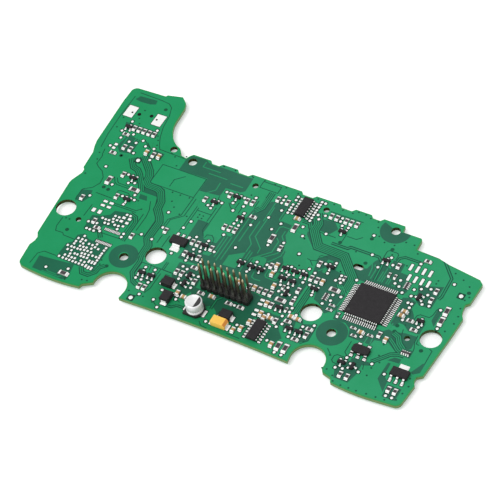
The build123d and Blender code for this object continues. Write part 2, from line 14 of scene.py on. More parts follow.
import bmesh
import bpy
import numpy as np
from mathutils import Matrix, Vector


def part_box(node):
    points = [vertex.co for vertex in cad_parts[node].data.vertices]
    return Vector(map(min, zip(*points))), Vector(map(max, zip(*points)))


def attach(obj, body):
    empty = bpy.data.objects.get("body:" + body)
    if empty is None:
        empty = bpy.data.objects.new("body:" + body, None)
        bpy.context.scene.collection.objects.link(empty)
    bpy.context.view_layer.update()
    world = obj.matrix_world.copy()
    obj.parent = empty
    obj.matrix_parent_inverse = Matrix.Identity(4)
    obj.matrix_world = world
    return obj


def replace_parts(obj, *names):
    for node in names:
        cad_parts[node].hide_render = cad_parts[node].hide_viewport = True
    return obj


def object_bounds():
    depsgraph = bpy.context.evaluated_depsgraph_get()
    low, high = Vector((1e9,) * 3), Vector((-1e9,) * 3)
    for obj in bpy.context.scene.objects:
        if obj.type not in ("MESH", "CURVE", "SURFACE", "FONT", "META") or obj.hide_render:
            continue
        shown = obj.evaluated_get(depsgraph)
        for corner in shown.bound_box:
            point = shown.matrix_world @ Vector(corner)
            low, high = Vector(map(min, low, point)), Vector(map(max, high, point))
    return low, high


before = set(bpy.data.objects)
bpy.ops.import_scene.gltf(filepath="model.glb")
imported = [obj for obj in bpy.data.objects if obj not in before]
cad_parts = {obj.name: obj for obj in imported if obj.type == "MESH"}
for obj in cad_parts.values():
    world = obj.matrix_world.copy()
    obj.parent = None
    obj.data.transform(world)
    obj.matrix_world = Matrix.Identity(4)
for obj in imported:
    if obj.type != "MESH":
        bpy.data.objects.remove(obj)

CAD_BOX = [list(corner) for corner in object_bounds()]
MM = 0.001
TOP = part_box("board")[1].z
print("nodes", len(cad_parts), "board top at", round(TOP / MM, 3), "mm")

# %% [markdown]
# ## The camera
#
# A camera far away with a long lens keeps parallel edges nearly parallel, as in a catalogue. Its
# place is given in metres from the middle of the screw holes, and its turn as three angles in
# degrees. A short lens close by would show the same board with strong perspective.

# %% Camera
camera_data = bpy.data.cameras.new("camera")
camera_data.lens = 147.9
camera_data.sensor_width = 36.0
camera_data.clip_end = 10.0
camera = bpy.data.objects.new("camera", camera_data)
camera.location = (0.287294, -0.384511, 0.563335)
camera.rotation_euler = [math.radians(angle) for angle in (39.917, 6.7681, 29.1841)]
bpy.context.scene.collection.objects.link(camera)
bpy.context.scene.camera = camera
bpy.context.scene.view_settings.view_transform = "Standard"
print("camera is", round(camera.location.length, 3), "m from the middle of the board")

# %% [markdown]
# ## Small helpers for colour
#
# Colours are easy to read as red, green and blue from 0 to 255, but shaders want linear light.
# The helper turns one into the other, so that each finish below can be written the readable way.

# %% Colour helper
def colour(red, green, blue):
    """Linear colour: each channel c of 0 to 255 becomes ((c/255 + 0.055) / 1.055) to the 2.4."""
    channels = np.array([red, green, blue]) / 255
    light = np.where(channels <= 0.04045, channels / 12.92, ((channels + 0.055) / 1.055) ** 2.4)
    return (*[float(value) for value in light], 1.0)


print("mid grey becomes", round(colour(128, 128, 128)[0], 3))

# %% [markdown]
# ## A white studio
#
# Small goods are often shown in an even white room. The world plays that room: it sends soft light
# from all round. Walls and lamps could be built instead, but a plain world gives even light at
# once. The Light Path node tells which rays look straight at the world, and those see it pure
# white, while the light it gives stays weaker.

# %% World
WORLD_LIGHT = 0.62
world = bpy.data.worlds.new("studio")
bpy.context.scene.world = world
world.use_nodes = True
world.node_tree.nodes.clear()


def seen_directly(nodes, links):
    """One where a ray comes from the camera, a reflection or a clear part; zero for all others."""
    path = nodes.new("ShaderNodeLightPath")
    last = path.outputs["Is Camera Ray"]
    for kind in ("Is Glossy Ray", "Is Transmission Ray"):
        either = nodes.new("ShaderNodeMath")
        either.operation = "MAXIMUM"
        links.new(last, either.inputs[0])
        links.new(path.outputs[kind], either.inputs[1])
        last = either.outputs["Value"]
    return last


def studio(nodes, links):
    """World shader: a weak white for the light it gives, a full white where it is looked at."""
    mix = nodes.new("ShaderNodeMixShader")
    output = nodes.new("ShaderNodeOutputWorld")
    for place, strength in ((1, WORLD_LIGHT), (2, 1.0)):
        white = nodes.new("ShaderNodeBackground")
        white.inputs["Color"].default_value = (1, 1, 1, 1)
        white.inputs["Strength"].default_value = strength
        links.new(white.outputs["Background"], mix.inputs[place])
    links.new(seen_directly(nodes, links), mix.inputs["Fac"])
    links.new(mix.outputs["Shader"], output.inputs["Surface"])


studio(world.node_tree.nodes, world.node_tree.links)
print("world gives", WORLD_LIGHT, "of full light")

# %% [markdown]
# ## One soft sun
#
# Even light alone leaves everything flat. One broad sun from overhead, a little to the front left,
# adds the soft shadows that tell how far the parts stand up. Its light and the world's add up to
# about one, so a colour comes out about as bright as it is written.

# %% Sun
sun_data = bpy.data.lights.new("soft_sun", "SUN")
sun_data.energy = 1.36
sun_data.angle = math.radians(35)
sun = bpy.data.objects.new("soft_sun", sun_data)
sun.rotation_euler = (math.radians(21), math.radians(-13), 0)
bpy.context.scene.collection.objects.link(sun)
overhead = math.cos(sun.rotation_euler.x) * math.cos(sun.rotation_euler.y)
print("level faces get", round(WORLD_LIGHT + sun_data.energy * overhead / math.pi, 2), "of full light")

# %% [markdown]
# ## The floor
#
# The floor is one pale sheet just under the board's trimmed pins, and its task is to catch the
# shadow. White paint in this light would still come out a little grey, so the paint glows faintly
# where it is seen directly. To the light that falls on the board's underside it adds nothing.

# %% Floor
FLOOR_GAP = 0.2 * MM
FLOOR_HALF = 2.0
FLOOR_GLOW = 0.35


def floor_finish():
    """Pale matt paint, plus a faint light of its own for the rays that see it directly."""
    material = bpy.data.materials.new("pale_floor")
    material.use_nodes = True
    nodes, links = material.node_tree.nodes, material.node_tree.links
    nodes.clear()
    out = nodes.new("ShaderNodeOutputMaterial")
    add = nodes.new("ShaderNodeAddShader")
    paint = nodes.new("ShaderNodeBsdfDiffuse")
    paint.inputs["Color"].default_value = (0.86, 0.86, 0.86, 1)
    glow = nodes.new("ShaderNodeEmission")
    lift = nodes.new("ShaderNodeMath")
    lift.operation = "MULTIPLY"
    lift.inputs[1].default_value = FLOOR_GLOW
    links.new(seen_directly(nodes, links), lift.inputs[0])
    links.new(lift.outputs["Value"], glow.inputs["Strength"])
    links.new(paint.outputs["BSDF"], add.inputs[0])
    links.new(glow.outputs["Emission"], add.inputs[1])
    links.new(add.outputs["Shader"], out.inputs["Surface"])
    return material


FLOOR_Z = CAD_BOX[0][2] - FLOOR_GAP
floor_corners = [(x * FLOOR_HALF, y * FLOOR_HALF, FLOOR_Z) for x, y in ((-1, -1), (1, -1), (1, 1), (-1, 1))]
floor_mesh = bpy.data.meshes.new("floor")
floor_mesh.from_pydata(floor_corners, [], [(0, 1, 2, 3)])
floor_mesh.materials.append(floor_finish())
floor = bpy.data.objects.new("floor", floor_mesh)
bpy.context.scene.collection.objects.link(floor)
print("floor at", round(FLOOR_Z / MM, 2), "mm")

# %% [markdown]
# ## Wiring helpers
#
# A material is a net of nodes. A few small nets come back in nearly every finish here: the parts
# of a direction, a value stretched to run from 0 to 1, a blend of two colours, and a ramp through
# several. Each gets a helper that adds its nodes and hands back the socket that holds the result.

# %% Wiring helpers
def split_axes(nodes, links, kind="ShaderNodeTexCoord", socket="Object"):
    """The X, Y and Z sockets of Object coordinates, or of another node's direction."""
    source = nodes.new(kind)
    split = nodes.new("ShaderNodeSeparateXYZ")
    links.new(source.outputs[socket], split.inputs["Vector"])
    return split.outputs


def stretched(nodes, links, value, low, high, ease="LINEAR"):
    """A value that runs from 0 to 1 while the given one runs from low to high."""
    span = nodes.new("ShaderNodeMapRange")
    span.interpolation_type = ease
    span.inputs["From Min"].default_value = low
    span.inputs["From Max"].default_value = high
    links.new(value, span.inputs["Value"])
    return span.outputs["Result"]


def blended(nodes, links, factor, first, second, how="MIX"):
    """A blend of two colours. Each of the three may be a socket or a fixed value."""
    blend = nodes.new("ShaderNodeMix")
    blend.data_type = "RGBA"
    blend.blend_type = how
    for name, value in (("Factor", factor), ("A", first), ("B", second)):
        if isinstance(value, bpy.types.NodeSocket):
            links.new(value, blend.inputs[name])
        else:
            blend.inputs[name].default_value = value
    return blend.outputs["Result"]


def ramped(nodes, links, value, stops, ease="LINEAR"):
    """A colour read off a ramp through (position, colour) stops, at least two of them."""
    node = nodes.new("ShaderNodeValToRGB")
    ramp = node.color_ramp
    ramp.interpolation = ease
    for index, (position, tone) in enumerate(stops):
        if index >= len(ramp.elements):
            ramp.elements.new(position)
        ramp.elements[index].position = position
        ramp.elements[index].color = tone
    links.new(value, node.inputs["Fac"])
    return node.outputs["Color"]


print("helpers", [helper.__name__ for helper in (split_axes, stretched, blended, ramped)])

# %% [markdown]
# ## Two shared effects
#
# Real surfaces are never one flat colour. Nearly every finish here is uneven in tone and has a
# fine grain, so both effects are made once as node groups with named inputs, and each material
# places them with values of its own. They read Object coordinates, which on these parts are real
# metres, so a scale of 1000 gives one blotch to a millimetre.

# %% Empty group
def new_group(name, inputs, outputs):
    """An empty shader group with the given (type, name, value) inputs and (type, name) outputs."""
    group = bpy.data.node_groups.new(name, "ShaderNodeTree")
    for kind, label, value in inputs:
        socket = group.interface.new_socket(label, in_out="INPUT", socket_type=kind)
        socket.default_value = value
    for kind, label in outputs:
        group.interface.new_socket(label, in_out="OUTPUT", socket_type=kind)
    start = group.nodes.new("NodeGroupInput")
    end = group.nodes.new("NodeGroupOutput")
    return group, start, end


# %% Uneven tone
def uneven_tone():
    """Group: blends two tones by two sizes of noise. Colour = mix(Tone, Other, noise)."""
    group, start, end = new_group(
        "uneven_tone",
        [("NodeSocketColor", "Tone", (0.5, 0.5, 0.5, 1)), ("NodeSocketColor", "Other", (0.4, 0.4, 0.4, 1)),
         ("NodeSocketFloat", "Scale", 100.0)],
        [("NodeSocketColor", "Colour")])
    nodes, links = group.nodes, group.links
    place = nodes.new("ShaderNodeTexCoord")
    noise = nodes.new("ShaderNodeTexNoise")
    noise.inputs["Detail"].default_value = 5.0
    noise.inputs["Roughness"].default_value = 0.6
    links.new(place.outputs["Object"], noise.inputs["Vector"])
    links.new(start.outputs["Scale"], noise.inputs["Scale"])
    mask = stretched(nodes, links, noise.outputs["Fac"], 0.3, 0.7)
    tone = blended(nodes, links, mask, start.outputs["Tone"], start.outputs["Other"])
    links.new(tone, end.inputs["Colour"])
    return group


UNEVEN_TONE = uneven_tone()
print("made", UNEVEN_TONE.name)


# %% Fine grain
def fine_grain():
    """Group: a bumped normal. Height is noise of the given Scale, Depth is in metres."""
    group, start, end = new_group(
        "fine_grain",
        [("NodeSocketFloat", "Scale", 3000.0), ("NodeSocketFloat", "Depth", 0.00002)],
        [("NodeSocketVector", "Normal"), ("NodeSocketFloat", "Height")])
    nodes, links = group.nodes, group.links
    place = nodes.new("ShaderNodeTexCoord")
    noise = nodes.new("ShaderNodeTexNoise")
    noise.inputs["Detail"].default_value = 3.0
    bump = nodes.new("ShaderNodeBump")
    bump.inputs["Strength"].default_value = 0.6
    links.new(place.outputs["Object"], noise.inputs["Vector"])
    links.new(start.outputs["Scale"], noise.inputs["Scale"])
    links.new(noise.outputs["Fac"], bump.inputs["Height"])
    links.new(start.outputs["Depth"], bump.inputs["Distance"])
    links.new(bump.outputs["Normal"], end.inputs["Normal"])
    links.new(noise.outputs["Fac"], end.inputs["Height"])
    return group


FINE_GRAIN = fine_grain()
print("made", FINE_GRAIN.name)

# %% [markdown]
# ## A plain recipe for a finish
#
# Most finishes differ only in two tones, the size of their blotches, how rough they are and how
# deep their grain is. The recipe below wires both groups to one Principled shader. Values that
# are the same all over the surface are set on the shader's own sockets.

# %% Finish recipe
def finish(name, tone, other, scale, rough, grain, depth, metal=0.0, gloss=0.5, coat=0.0):
    """A material of two blotchy tones with fine grain. rough is a (low, high) pair."""
    material = bpy.data.materials.new(name)
    material.use_nodes = True
    nodes, links = material.node_tree.nodes, material.node_tree.links
    shader = nodes["Principled BSDF"]
    tones = nodes.new("ShaderNodeGroup")
    tones.node_tree = UNEVEN_TONE
    tones.name = "tones"
    tones.inputs["Tone"].default_value = tone
    tones.inputs["Other"].default_value = other
    tones.inputs["Scale"].default_value = scale
    bumps = nodes.new("ShaderNodeGroup")
    bumps.node_tree = FINE_GRAIN
    bumps.inputs["Scale"].default_value = grain
    bumps.inputs["Depth"].default_value = depth
    spread = nodes.new("ShaderNodeMapRange")
    spread.inputs["To Min"].default_value = rough[0]
    spread.inputs["To Max"].default_value = rough[1]
    links.new(tones.outputs["Colour"], shader.inputs["Base Color"])
    links.new(bumps.outputs["Height"], spread.inputs["Value"])
    links.new(spread.outputs["Result"], shader.inputs["Roughness"])
    links.new(bumps.outputs["Normal"], shader.inputs["Normal"])
    shader.inputs["Metallic"].default_value = metal
    shader.inputs["Specular IOR Level"].default_value = gloss
    shader.inputs["Coat Weight"].default_value = coat
    return material


def dress(node, material):
    """Gives a part of the solid model this finish."""
    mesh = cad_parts[node].data
    mesh.materials.clear()
    mesh.materials.append(material)


# %% [markdown]
# ## Making a piece
#
# Every new piece ends the same way: an array of points and arrays of faces become a mesh, the
# mesh gets a finish, and the piece is told to ride with the board. Shapes are passed about as a
# pair (points, faces), which makes it easy to copy one small shape hundreds of times.

# %% From a shape to a piece
def join_shapes(shapes):
    """One shape from several: points one after the other, face indexes shifted to match."""
    points, faces, start = [], [], 0
    for shape_points, shape_faces in shapes:
        points.append(shape_points)
        faces += [block + start for block in shape_faces]
        start += len(shape_points)
    return np.concatenate(points), faces


def scaled(shape):
    """The same shape with its points turned from millimetres into metres."""
    return shape[0] * MM, shape[1]


def make_piece(name, shape, material, smooth=None):
    """Puts a shape (metres) in a mesh. smooth is the angle in degrees below which edges blend."""
    points, faces = shape
    rings = [row for block in faces for row in block.tolist()]
    mesh = bpy.data.meshes.new(name)
    mesh.from_pydata(points.tolist(), [], rings)
    mesh.materials.append(material)
    if smooth:
        mesh.shade_smooth()
        mesh.set_sharp_from_angle(angle=math.radians(smooth))
    mesh.update()
    piece = bpy.data.objects.new(name, mesh)
    bpy.context.scene.collection.objects.link(piece)
    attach(piece, "root")
    print(name, "has", len(rings), "faces")
    return piece


# %% [markdown]
# ## Outlines
#
# Most parts of a board are round or have round corners when seen from above. Both outlines come
# from one formula each, as whole arrays, and run anticlockwise, so that walls built on them face
# outwards. Blender's own circle makes the same ring, but only as an object of its own.

# %% Outlines
def circle(radius, around):
    """Points (around, 2) of a circle, anticlockwise: (r cos a, r sin a)."""
    a = np.arange(around) * 2 * math.pi / around
    return np.stack([radius * np.cos(a), radius * np.sin(a)], -1)


def rounded_rectangle(length, width, radius, per_corner=3):
    """Points of a rectangle with round corners: corner centre plus r (cos a, sin a), four times."""
    a = np.linspace(0, math.pi / 2, per_corner)[None, :] + (np.arange(4) * math.pi / 2)[:, None]
    centre_x = np.array([1, -1, -1, 1])[:, None] * (length / 2 - radius)
    centre_y = np.array([1, 1, -1, -1])[:, None] * (width / 2 - radius)
    x = centre_x + radius * np.cos(a)
    y = centre_y + radius * np.sin(a)
    return np.stack([x, y], -1).reshape(-1, 2)


def lift_rings(outlines, heights):
    """A stack (k, n, 3) of flat outlines, each at its height."""
    stack = [np.column_stack([ring, np.full(len(ring), height)]) for ring, height in zip(outlines, heights)]
    return np.array(stack)


print("a test outline has", len(rounded_rectangle(2, 1, 0.2)), "points")

# %% [markdown]
# ## Shells, bars and copies
#
# A stack of outlines of the same number of points makes a closed shell: its walls are quads
# between one ring and the next, worked out for the whole grid at once. A bar is the shell of one
# profile at two ends. Copies are made with numpy too, since five hundred objects would be slow.

# %% Shells, bars and copies
def shell(rings):
    """A closed shell from k rings of n points, an array (k, n, 3).

    Ring i is joined to ring i + 1 by quads, and the first and last rings are closed by one face.
    Rings run anticlockwise seen from the end of the stack, so all faces point outwards."""
    count, around, _ = rings.shape
    here = np.arange(around)
    after = np.roll(here, -1)
    base = (np.arange(count - 1) * around)[:, None]
    quads = np.stack([base + here, base + after, base + around + after, base + around + here], -1)
    caps = np.stack([here[::-1], (count - 1) * around + here])
    return rings.reshape(-1, 3), [quads.reshape(-1, 4), caps]


def bar(profile, width):
    """A profile (k, 2) of distance and height, anticlockwise, carried straight across a width."""
    profile = np.asarray(profile, float)
    ends = [np.column_stack([profile[:, 0], np.full(len(profile), side), profile[:, 1]])
            for side in (width / 2, -width / 2)]
    return shell(np.array(ends))


def moved(shape, x, y=0.0, z=0.0):
    """The same shape a little further on."""
    return shape[0] + (x, y, z), shape[1]


def copies(shape, places, turns):
    """A shape copied to each place (p, 3), turned by quarter turns about the vertical.

    x' = x cos t - y sin t + place_x and y' = x sin t + y cos t + place_y."""
    points, faces = shape
    places = np.asarray(places, float).reshape(-1, 3)
    angle = np.broadcast_to(np.asarray(turns, float), (len(places),)) * math.pi / 2
    c, s = np.cos(angle)[:, None], np.sin(angle)[:, None]
    x = points[:, 0] * c - points[:, 1] * s
    y = points[:, 0] * s + points[:, 1] * c
    z = np.broadcast_to(points[:, 2], x.shape)
    laid = np.stack([x, y, z], -1) + places[:, None, :]
    step = (np.arange(len(places)) * len(points))[:, None, None]
    return laid.reshape(-1, 3), [(block + step).reshape(-1, block.shape[1]) for block in faces]


print("a cube has", len(bar([(0, 0), (1, 0), (1, 1), (0, 1)], 1)[0]), "corners")

# %% [markdown]
# ## Reading places from the solid model
#
# A node such as the resistor bodies holds many separate solids. To put solder beside each one we
# need its box. Triangles that share a corner belong together, so we give every corner a label and
# keep passing the smallest label across the triangles until nothing changes.

# %% Boxes of separate solids
def solid_boxes(node):
    """(low, high) arrays in millimetres, one row for each separate solid of a node."""
    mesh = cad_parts[node].data
    co = np.zeros(len(mesh.vertices) * 3)
    mesh.vertices.foreach_get("co", co)
    co = co.reshape(-1, 3) / MM
    corners = np.zeros(len(mesh.loops), int)
    mesh.loops.foreach_get("vertex_index", corners)
    spots, same = np.unique(np.round(co, 4), axis=0, return_inverse=True)
    triangles = same.reshape(-1)[corners].reshape(-1, 3)
    label = np.arange(len(spots))
    while True:
        lowest = label[triangles].min(axis=1)
        spread = label.copy()
        np.minimum.at(spread, triangles.ravel(), np.repeat(lowest, 3))
        spread = spread[spread]
        if np.array_equal(spread, label):
            break
        label = spread
    kinds, member = np.unique(label, return_inverse=True)
    low = np.full((len(kinds), 3), np.inf)
    high = np.full((len(kinds), 3), -np.inf)
    np.minimum.at(low, member, spots)
    np.maximum.at(high, member, spots)
    return low, high


low, high = solid_boxes("resistor_bodies")
print("resistors", len(low), "first is", np.round(high[0] - low[0], 2), "mm")

# %% [markdown]
# ## Painted shade on the lacquer
#
# The lacquer is a clear green varnish that was flooded over the whole board. Its green gets
# painted shade in two places: it is darker towards the left wing, and in an oval pool of shade
# round the pin header. One group works both masks out from Object coordinates, so that all the
# lacquered pieces darken together. A painted mask would have to be unwrapped again for every thin layer.

# %% Painted shade on the lacquer
WING_SHADE_STARTS, WING_SHADE_FULL = -0.024, -0.058
HEADER_SHADE_MIDDLE = (-0.002, -0.035)
HEADER_SHADE_RADII = (0.036, 0.018)
HEADER_SHADE_STARTS, HEADER_SHADE_FULL = 1.1, 0.3


def painted_shade_tint():
    """Group: painted shade that darkens the green towards the left wing and round the pin header.

    The first mask rises smoothly with -x. The second is one at the middle of the shade round the
    header and falls with the distance sqrt((x/a)^2 + (y/b)^2). Each multiplies the green by a tint of its
    own."""
    group, start, end = new_group("painted_shade_tint", [("NodeSocketColor", "Green", (0.1, 0.5, 0.3, 1))],
                                  [("NodeSocketColor", "Colour")])
    nodes, links = group.nodes, group.links
    place = nodes.new("ShaderNodeTexCoord")
    oval = nodes.new("ShaderNodeMapping")
    shrink = 1 / np.array(HEADER_SHADE_RADII)
    oval.inputs["Scale"].default_value = (*shrink, 0)
    oval.inputs["Location"].default_value = (*(-shrink * HEADER_SHADE_MIDDLE), 0)
    links.new(place.outputs["Object"], oval.inputs["Vector"])
    away = nodes.new("ShaderNodeVectorMath")
    away.operation = "LENGTH"
    links.new(oval.outputs["Vector"], away.inputs[0])
    wing = stretched(nodes, links, split_axes(nodes, links)["X"], WING_SHADE_STARTS, WING_SHADE_FULL, "SMOOTHSTEP")
    pool = stretched(nodes, links, away.outputs["Value"], HEADER_SHADE_STARTS, HEADER_SHADE_FULL, "SMOOTHSTEP")
    green = blended(nodes, links, wing, start.outputs["Green"], (0.4, 0.93, 0.8, 1), "MULTIPLY")
    green = blended(nodes, links, pool, green, (0.4, 0.76, 0.64, 1), "MULTIPLY")
    links.new(green, end.inputs["Colour"])
    return group


PAINTED_SHADE_TINT = painted_shade_tint()
# The pool printed here is the oval of painted shade round the pin header.
print("the pool of lacquer is", 2 * HEADER_SHADE_RADII[0] / MM, "mm long")

# %% [markdown]
# ## Green lacquer over copper
#
# Over copper the lacquer looks light, over bare laminate it looks dark. The cut sides show what is
# inside: yellowish glass fibre in thin layers, with a line of green along both edges. One material
# can do all of this, because the normal tells a flat face from a cut side, and the height tells
# where in the thickness we are. Two materials with a seam between them would also do.

# %% Lacquer finish
WHITE = (1, 1, 1, 1)
BLACK = (0, 0, 0, 1)


def cut_side(nodes, links):
    """Colour of the cut laminate, for a height that runs from 0 to 1 through the thickness.

    Noise stretched along the layers blends two browns, and green lacquer laps over both edges."""
    place = nodes.new("ShaderNodeTexCoord")
    layers = nodes.new("ShaderNodeMapping")
    layers.inputs["Scale"].default_value = (500, 500, 9000)
    fibre = nodes.new("ShaderNodeTexNoise")
    fibre.inputs["Scale"].default_value = 1.0
    fibre.inputs["Detail"].default_value = 4.0
    links.new(place.outputs["Object"], layers.inputs["Vector"])
    links.new(layers.outputs["Vector"], fibre.inputs["Vector"])
    glass = ramped(nodes, links, fibre.outputs["Fac"],
                   [(0.3, colour(94, 122, 58)), (0.75, colour(140, 166, 112))])
    height = stretched(nodes, links, split_axes(nodes, links)["Z"], 0.0, TOP)
    edges = ramped(nodes, links, height, [(0.0, WHITE), (0.22, BLACK), (0.72, BLACK), (0.86, WHITE)], "EASE")
    return blended(nodes, links, edges, glass, colour(54, 142, 76))


def lacquer_finish(name, tone, other, cut_sides=False):
    """Two-tone green lacquer; with cut_sides, upright faces show layered laminate instead."""
    material = finish(name, tone, other, 55, (0.34, 0.46), 900, 0.00001, gloss=0.14)
    nodes, links = material.node_tree.nodes, material.node_tree.links
    # This group paints shade on the green: darker towards the left wing and round the pin header.
    thick = nodes.new("ShaderNodeGroup")
    thick.node_tree = PAINTED_SHADE_TINT
    links.new(nodes["tones"].outputs["Colour"], thick.inputs["Green"])
    green = thick.outputs["Colour"]
    if cut_sides:
        flat = nodes.new("ShaderNodeMath")
        flat.operation = "ABSOLUTE"
        links.new(split_axes(nodes, links, "ShaderNodeNewGeometry", "Normal")["Z"], flat.inputs[0])
        green = blended(nodes, links, flat.outputs["Value"], cut_side(nodes, links), green)
    links.new(green, nodes["Principled BSDF"].inputs["Base Color"])
    return material


POUR = lacquer_finish("green_over_copper", colour(47, 156, 108), colour(36, 148, 97), cut_sides=True)
BARE = lacquer_finish("green_over_laminate", colour(44, 108, 85), colour(36, 97, 76))
TRACK = lacquer_finish("green_over_track", colour(47, 150, 105), colour(38, 142, 95))
CLEARANCE = lacquer_finish("green_round_lands", colour(20, 74, 56), colour(16, 62, 46))
RIM = lacquer_finish("green_rim", colour(47, 158, 92), colour(39, 149, 84))
print("greens", [green.name for green in (POUR, BARE, TRACK, CLEARANCE, RIM)])

# %% [markdown]
# ## Tin, black epoxy, ceramic and the rest
#
# Tinned copper is bright and slightly rippled. Moulded epoxy is nearly black with a fine matt
# grain. Fired ceramic is chalky. Each is the same recipe with its own two tones and grain, which
# is quicker to tune than a net of nodes for each.

# %% Finishes
TIN = finish("tin", colour(252, 252, 250), colour(240, 241, 238), 900, (0.22, 0.4), 2600, 0.00003,
             metal=0.12)
BRIGHT_TIN = finish("lead_tin", colour(246, 246, 243), colour(228, 229, 226), 1200, (0.25, 0.4), 3000,
                    0.00001, metal=0.2)
EPOXY = finish("black_epoxy", colour(41, 39, 41), colour(32, 30, 32), 700, (0.5, 0.65), 6000, 0.000015,
               gloss=0.22)
HEADER_PLASTIC = finish("header_plastic", colour(34, 33, 32), colour(26, 26, 25), 500, (0.4, 0.55), 5000,
                        0.00001, gloss=0.35)
CERAMIC_TAN = finish("tan_ceramic", colour(200, 160, 108), colour(166, 128, 80), 900, (0.55, 0.7), 5000,
                     0.00001)
GLASS_BLACK = finish("resistor_glass", colour(58, 50, 54), colour(40, 34, 38), 1500, (0.25, 0.4), 4000,
                     0.00001)
CERAMIC_WHITE = finish("white_ceramic", colour(206, 204, 200), colour(186, 184, 180), 1100, (0.5, 0.65),
                       5000, 0.00001)
TANTALUM_YELLOW = finish("yellow_epoxy", colour(255, 208, 96), colour(250, 196, 78), 400, (0.42, 0.55),
                         5000, 0.00001)
ALUMINIUM = finish("can_aluminium", colour(240, 240, 240), colour(226, 227, 229), 260, (0.3, 0.45), 2500,
                   0.00001, metal=0.2)
print("finishes so far", len(bpy.data.materials))

# %% [markdown]
# ## Dressing the solid model
#
# Each part of the solid model gets the finish of what it is made of. The parts are named alike, so
# the ending of a name tells which of them are metal, a short table names the special ones, and all
# the others are black epoxy.

# %% Dressing
METAL_ENDINGS = ("_leads", "_ends", "_terminals", "_tab", "_pins")
NODE_FINISHES = {
    "board": POUR,
    "resistor_bodies": CERAMIC_WHITE,
    "power_resistor_bodies": CERAMIC_WHITE,
    "small_resistor_bodies": CERAMIC_WHITE,
    "ceramic_capacitor_bodies": CERAMIC_TAN,
    "array_bodies": GLASS_BLACK,
    "tantalum_body": TANTALUM_YELLOW,
    "electrolytic_can": ALUMINIUM,
    "electrolytic_base": HEADER_PLASTIC,
    "header_base": HEADER_PLASTIC,
}
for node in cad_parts:
    dress(node, BRIGHT_TIN if node.endswith(METAL_ENDINGS) else NODE_FINISHES.get(node, EPOXY))
print("dressed", len(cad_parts), "parts of the solid model")

# %% [markdown]
# ## Layers a few hundredths of a millimetre thick
#
# The board's own upper face stands for lacquer over a copper pour. Where the copper was etched
# away, a very thin dark sheet lies on it, and where a small island of copper is left in such a
# place, a light sheet lies on that. Real copper is 0.035 mm thick, so these steps are true to
# life, and no texture has to be wrapped round the board. Each sheet is an outline with a wall.
# Where two sheets overlap, the one with the higher top is seen, so no two tops are the same.

# %% Sheet helper
LAYER_TOP = {"field": 0.008, "rim": 0.009, "island": 0.012, "ring": 0.014, "track gap": 0.015,
             "pour gap": 0.017, "between leads": 0.02, "track": 0.021, "via": 0.022, "land": 0.026}
FACE = TOP / MM


def sheets(outlines, bottom, thickness):
    """Closed flat sheets: each outline (k, 2) is turned anticlockwise and given straight walls."""
    shapes = []
    for outline in outlines:
        outline = np.asarray(outline, float)
        x, y = outline[:, 0], outline[:, 1]
        area = np.sum(x * np.roll(y, -1) - np.roll(x, -1) * y)
        if area < 0:
            outline = outline[::-1]
        height = FACE + bottom
        shapes.append(shell(lift_rings([outline, outline], [height, height + thickness])))
    return scaled(join_shapes(shapes))


# %% [markdown]
# ## Strips along a path
#
# A track is a strip of even width with sharp bends. At a bend the two sides have to meet on the
# mitre, or the strip would get thin there. A Blender curve could carry the strip as well, but the
# same mitres also shift a whole path sideways, which the bundles of tracks need.

# %% Strip helper
def mitres(path):
    """Sideways step at each point of a path (n, 2) that keeps a strip one unit wide.

    It is the sum of the two neighbouring normals, divided by one plus their dot product."""
    run = np.diff(path, axis=0)
    run /= np.linalg.norm(run, axis=1)[:, None]
    normal = np.stack([-run[:, 1], run[:, 0]], -1)
    before = np.concatenate([normal[:1], normal])
    after = np.concatenate([normal, normal[-1:]])
    return (before + after) / (1 + np.sum(before * after, axis=1))[:, None]


def carry(path, width, bottom, thickness):
    """A flat strip: half its width is laid off to both sides of a path, along the mitres."""
    path = np.asarray(path, float)
    side_step = mitres(path) * width / 2
    left, right = path + side_step, path - side_step
    height = FACE + bottom
    low, high = np.full(len(path), height), np.full(len(path), height + thickness)
    profile = [(right, low), (right, high), (left, high), (left, low)]
    rings = np.stack([np.column_stack([side, level]) for side, level in profile], 1)
    return shell(rings[:, ::-1])


def strips(paths, width, bottom, thickness):
    """Several strips of one width as one shape."""
    return scaled(join_shapes([carry(path, width, bottom, thickness) for path in paths]))


# %% [markdown]
# ## Cutting a layer to the board
#
# A copper layer stops at the board's outline and at every hole. Instead of drawing each field
# round the holes, the layer is cut by the board's own outline: a merged copy of the board's mesh
# is stretched upwards, so that it reaches through the layers, and Blender keeps what lies inside
# both. The cutter is deleted again, and the finished layer keeps no modifier.

# %% Cutter
cutter_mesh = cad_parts["board"].data.copy()
merge = bmesh.new()
merge.from_mesh(cutter_mesh)
bmesh.ops.remove_doubles(merge, verts=merge.verts, dist=1e-6)
for corner in merge.verts:
    corner.co.z += 1 * MM if corner.co.z > TOP / 2 else 0.2 * MM
merge.to_mesh(cutter_mesh)
merge.free()
cutter = bpy.data.objects.new("cutter", cutter_mesh)
bpy.context.scene.collection.objects.link(cutter)


def cut_to_board(piece):
    """Keeps the part of a layer that lies inside the board's outline and outside its holes."""
    cut = piece.modifiers.new("cut", "BOOLEAN")
    cut.operation = "INTERSECT"
    cut.solver = "EXACT"
    cut.use_self = True
    cut.object = cutter
    bpy.context.view_layer.update()
    seen = piece.evaluated_get(bpy.context.evaluated_depsgraph_get())
    result = bpy.data.meshes.new_from_object(seen)
    piece.modifiers.clear()
    finishes = list(piece.data.materials)
    piece.data = result
    piece.data.materials.clear()
    for material in finishes:
        piece.data.materials.append(material)
    print(piece.name, "has", len(result.polygons), "faces after the cut")
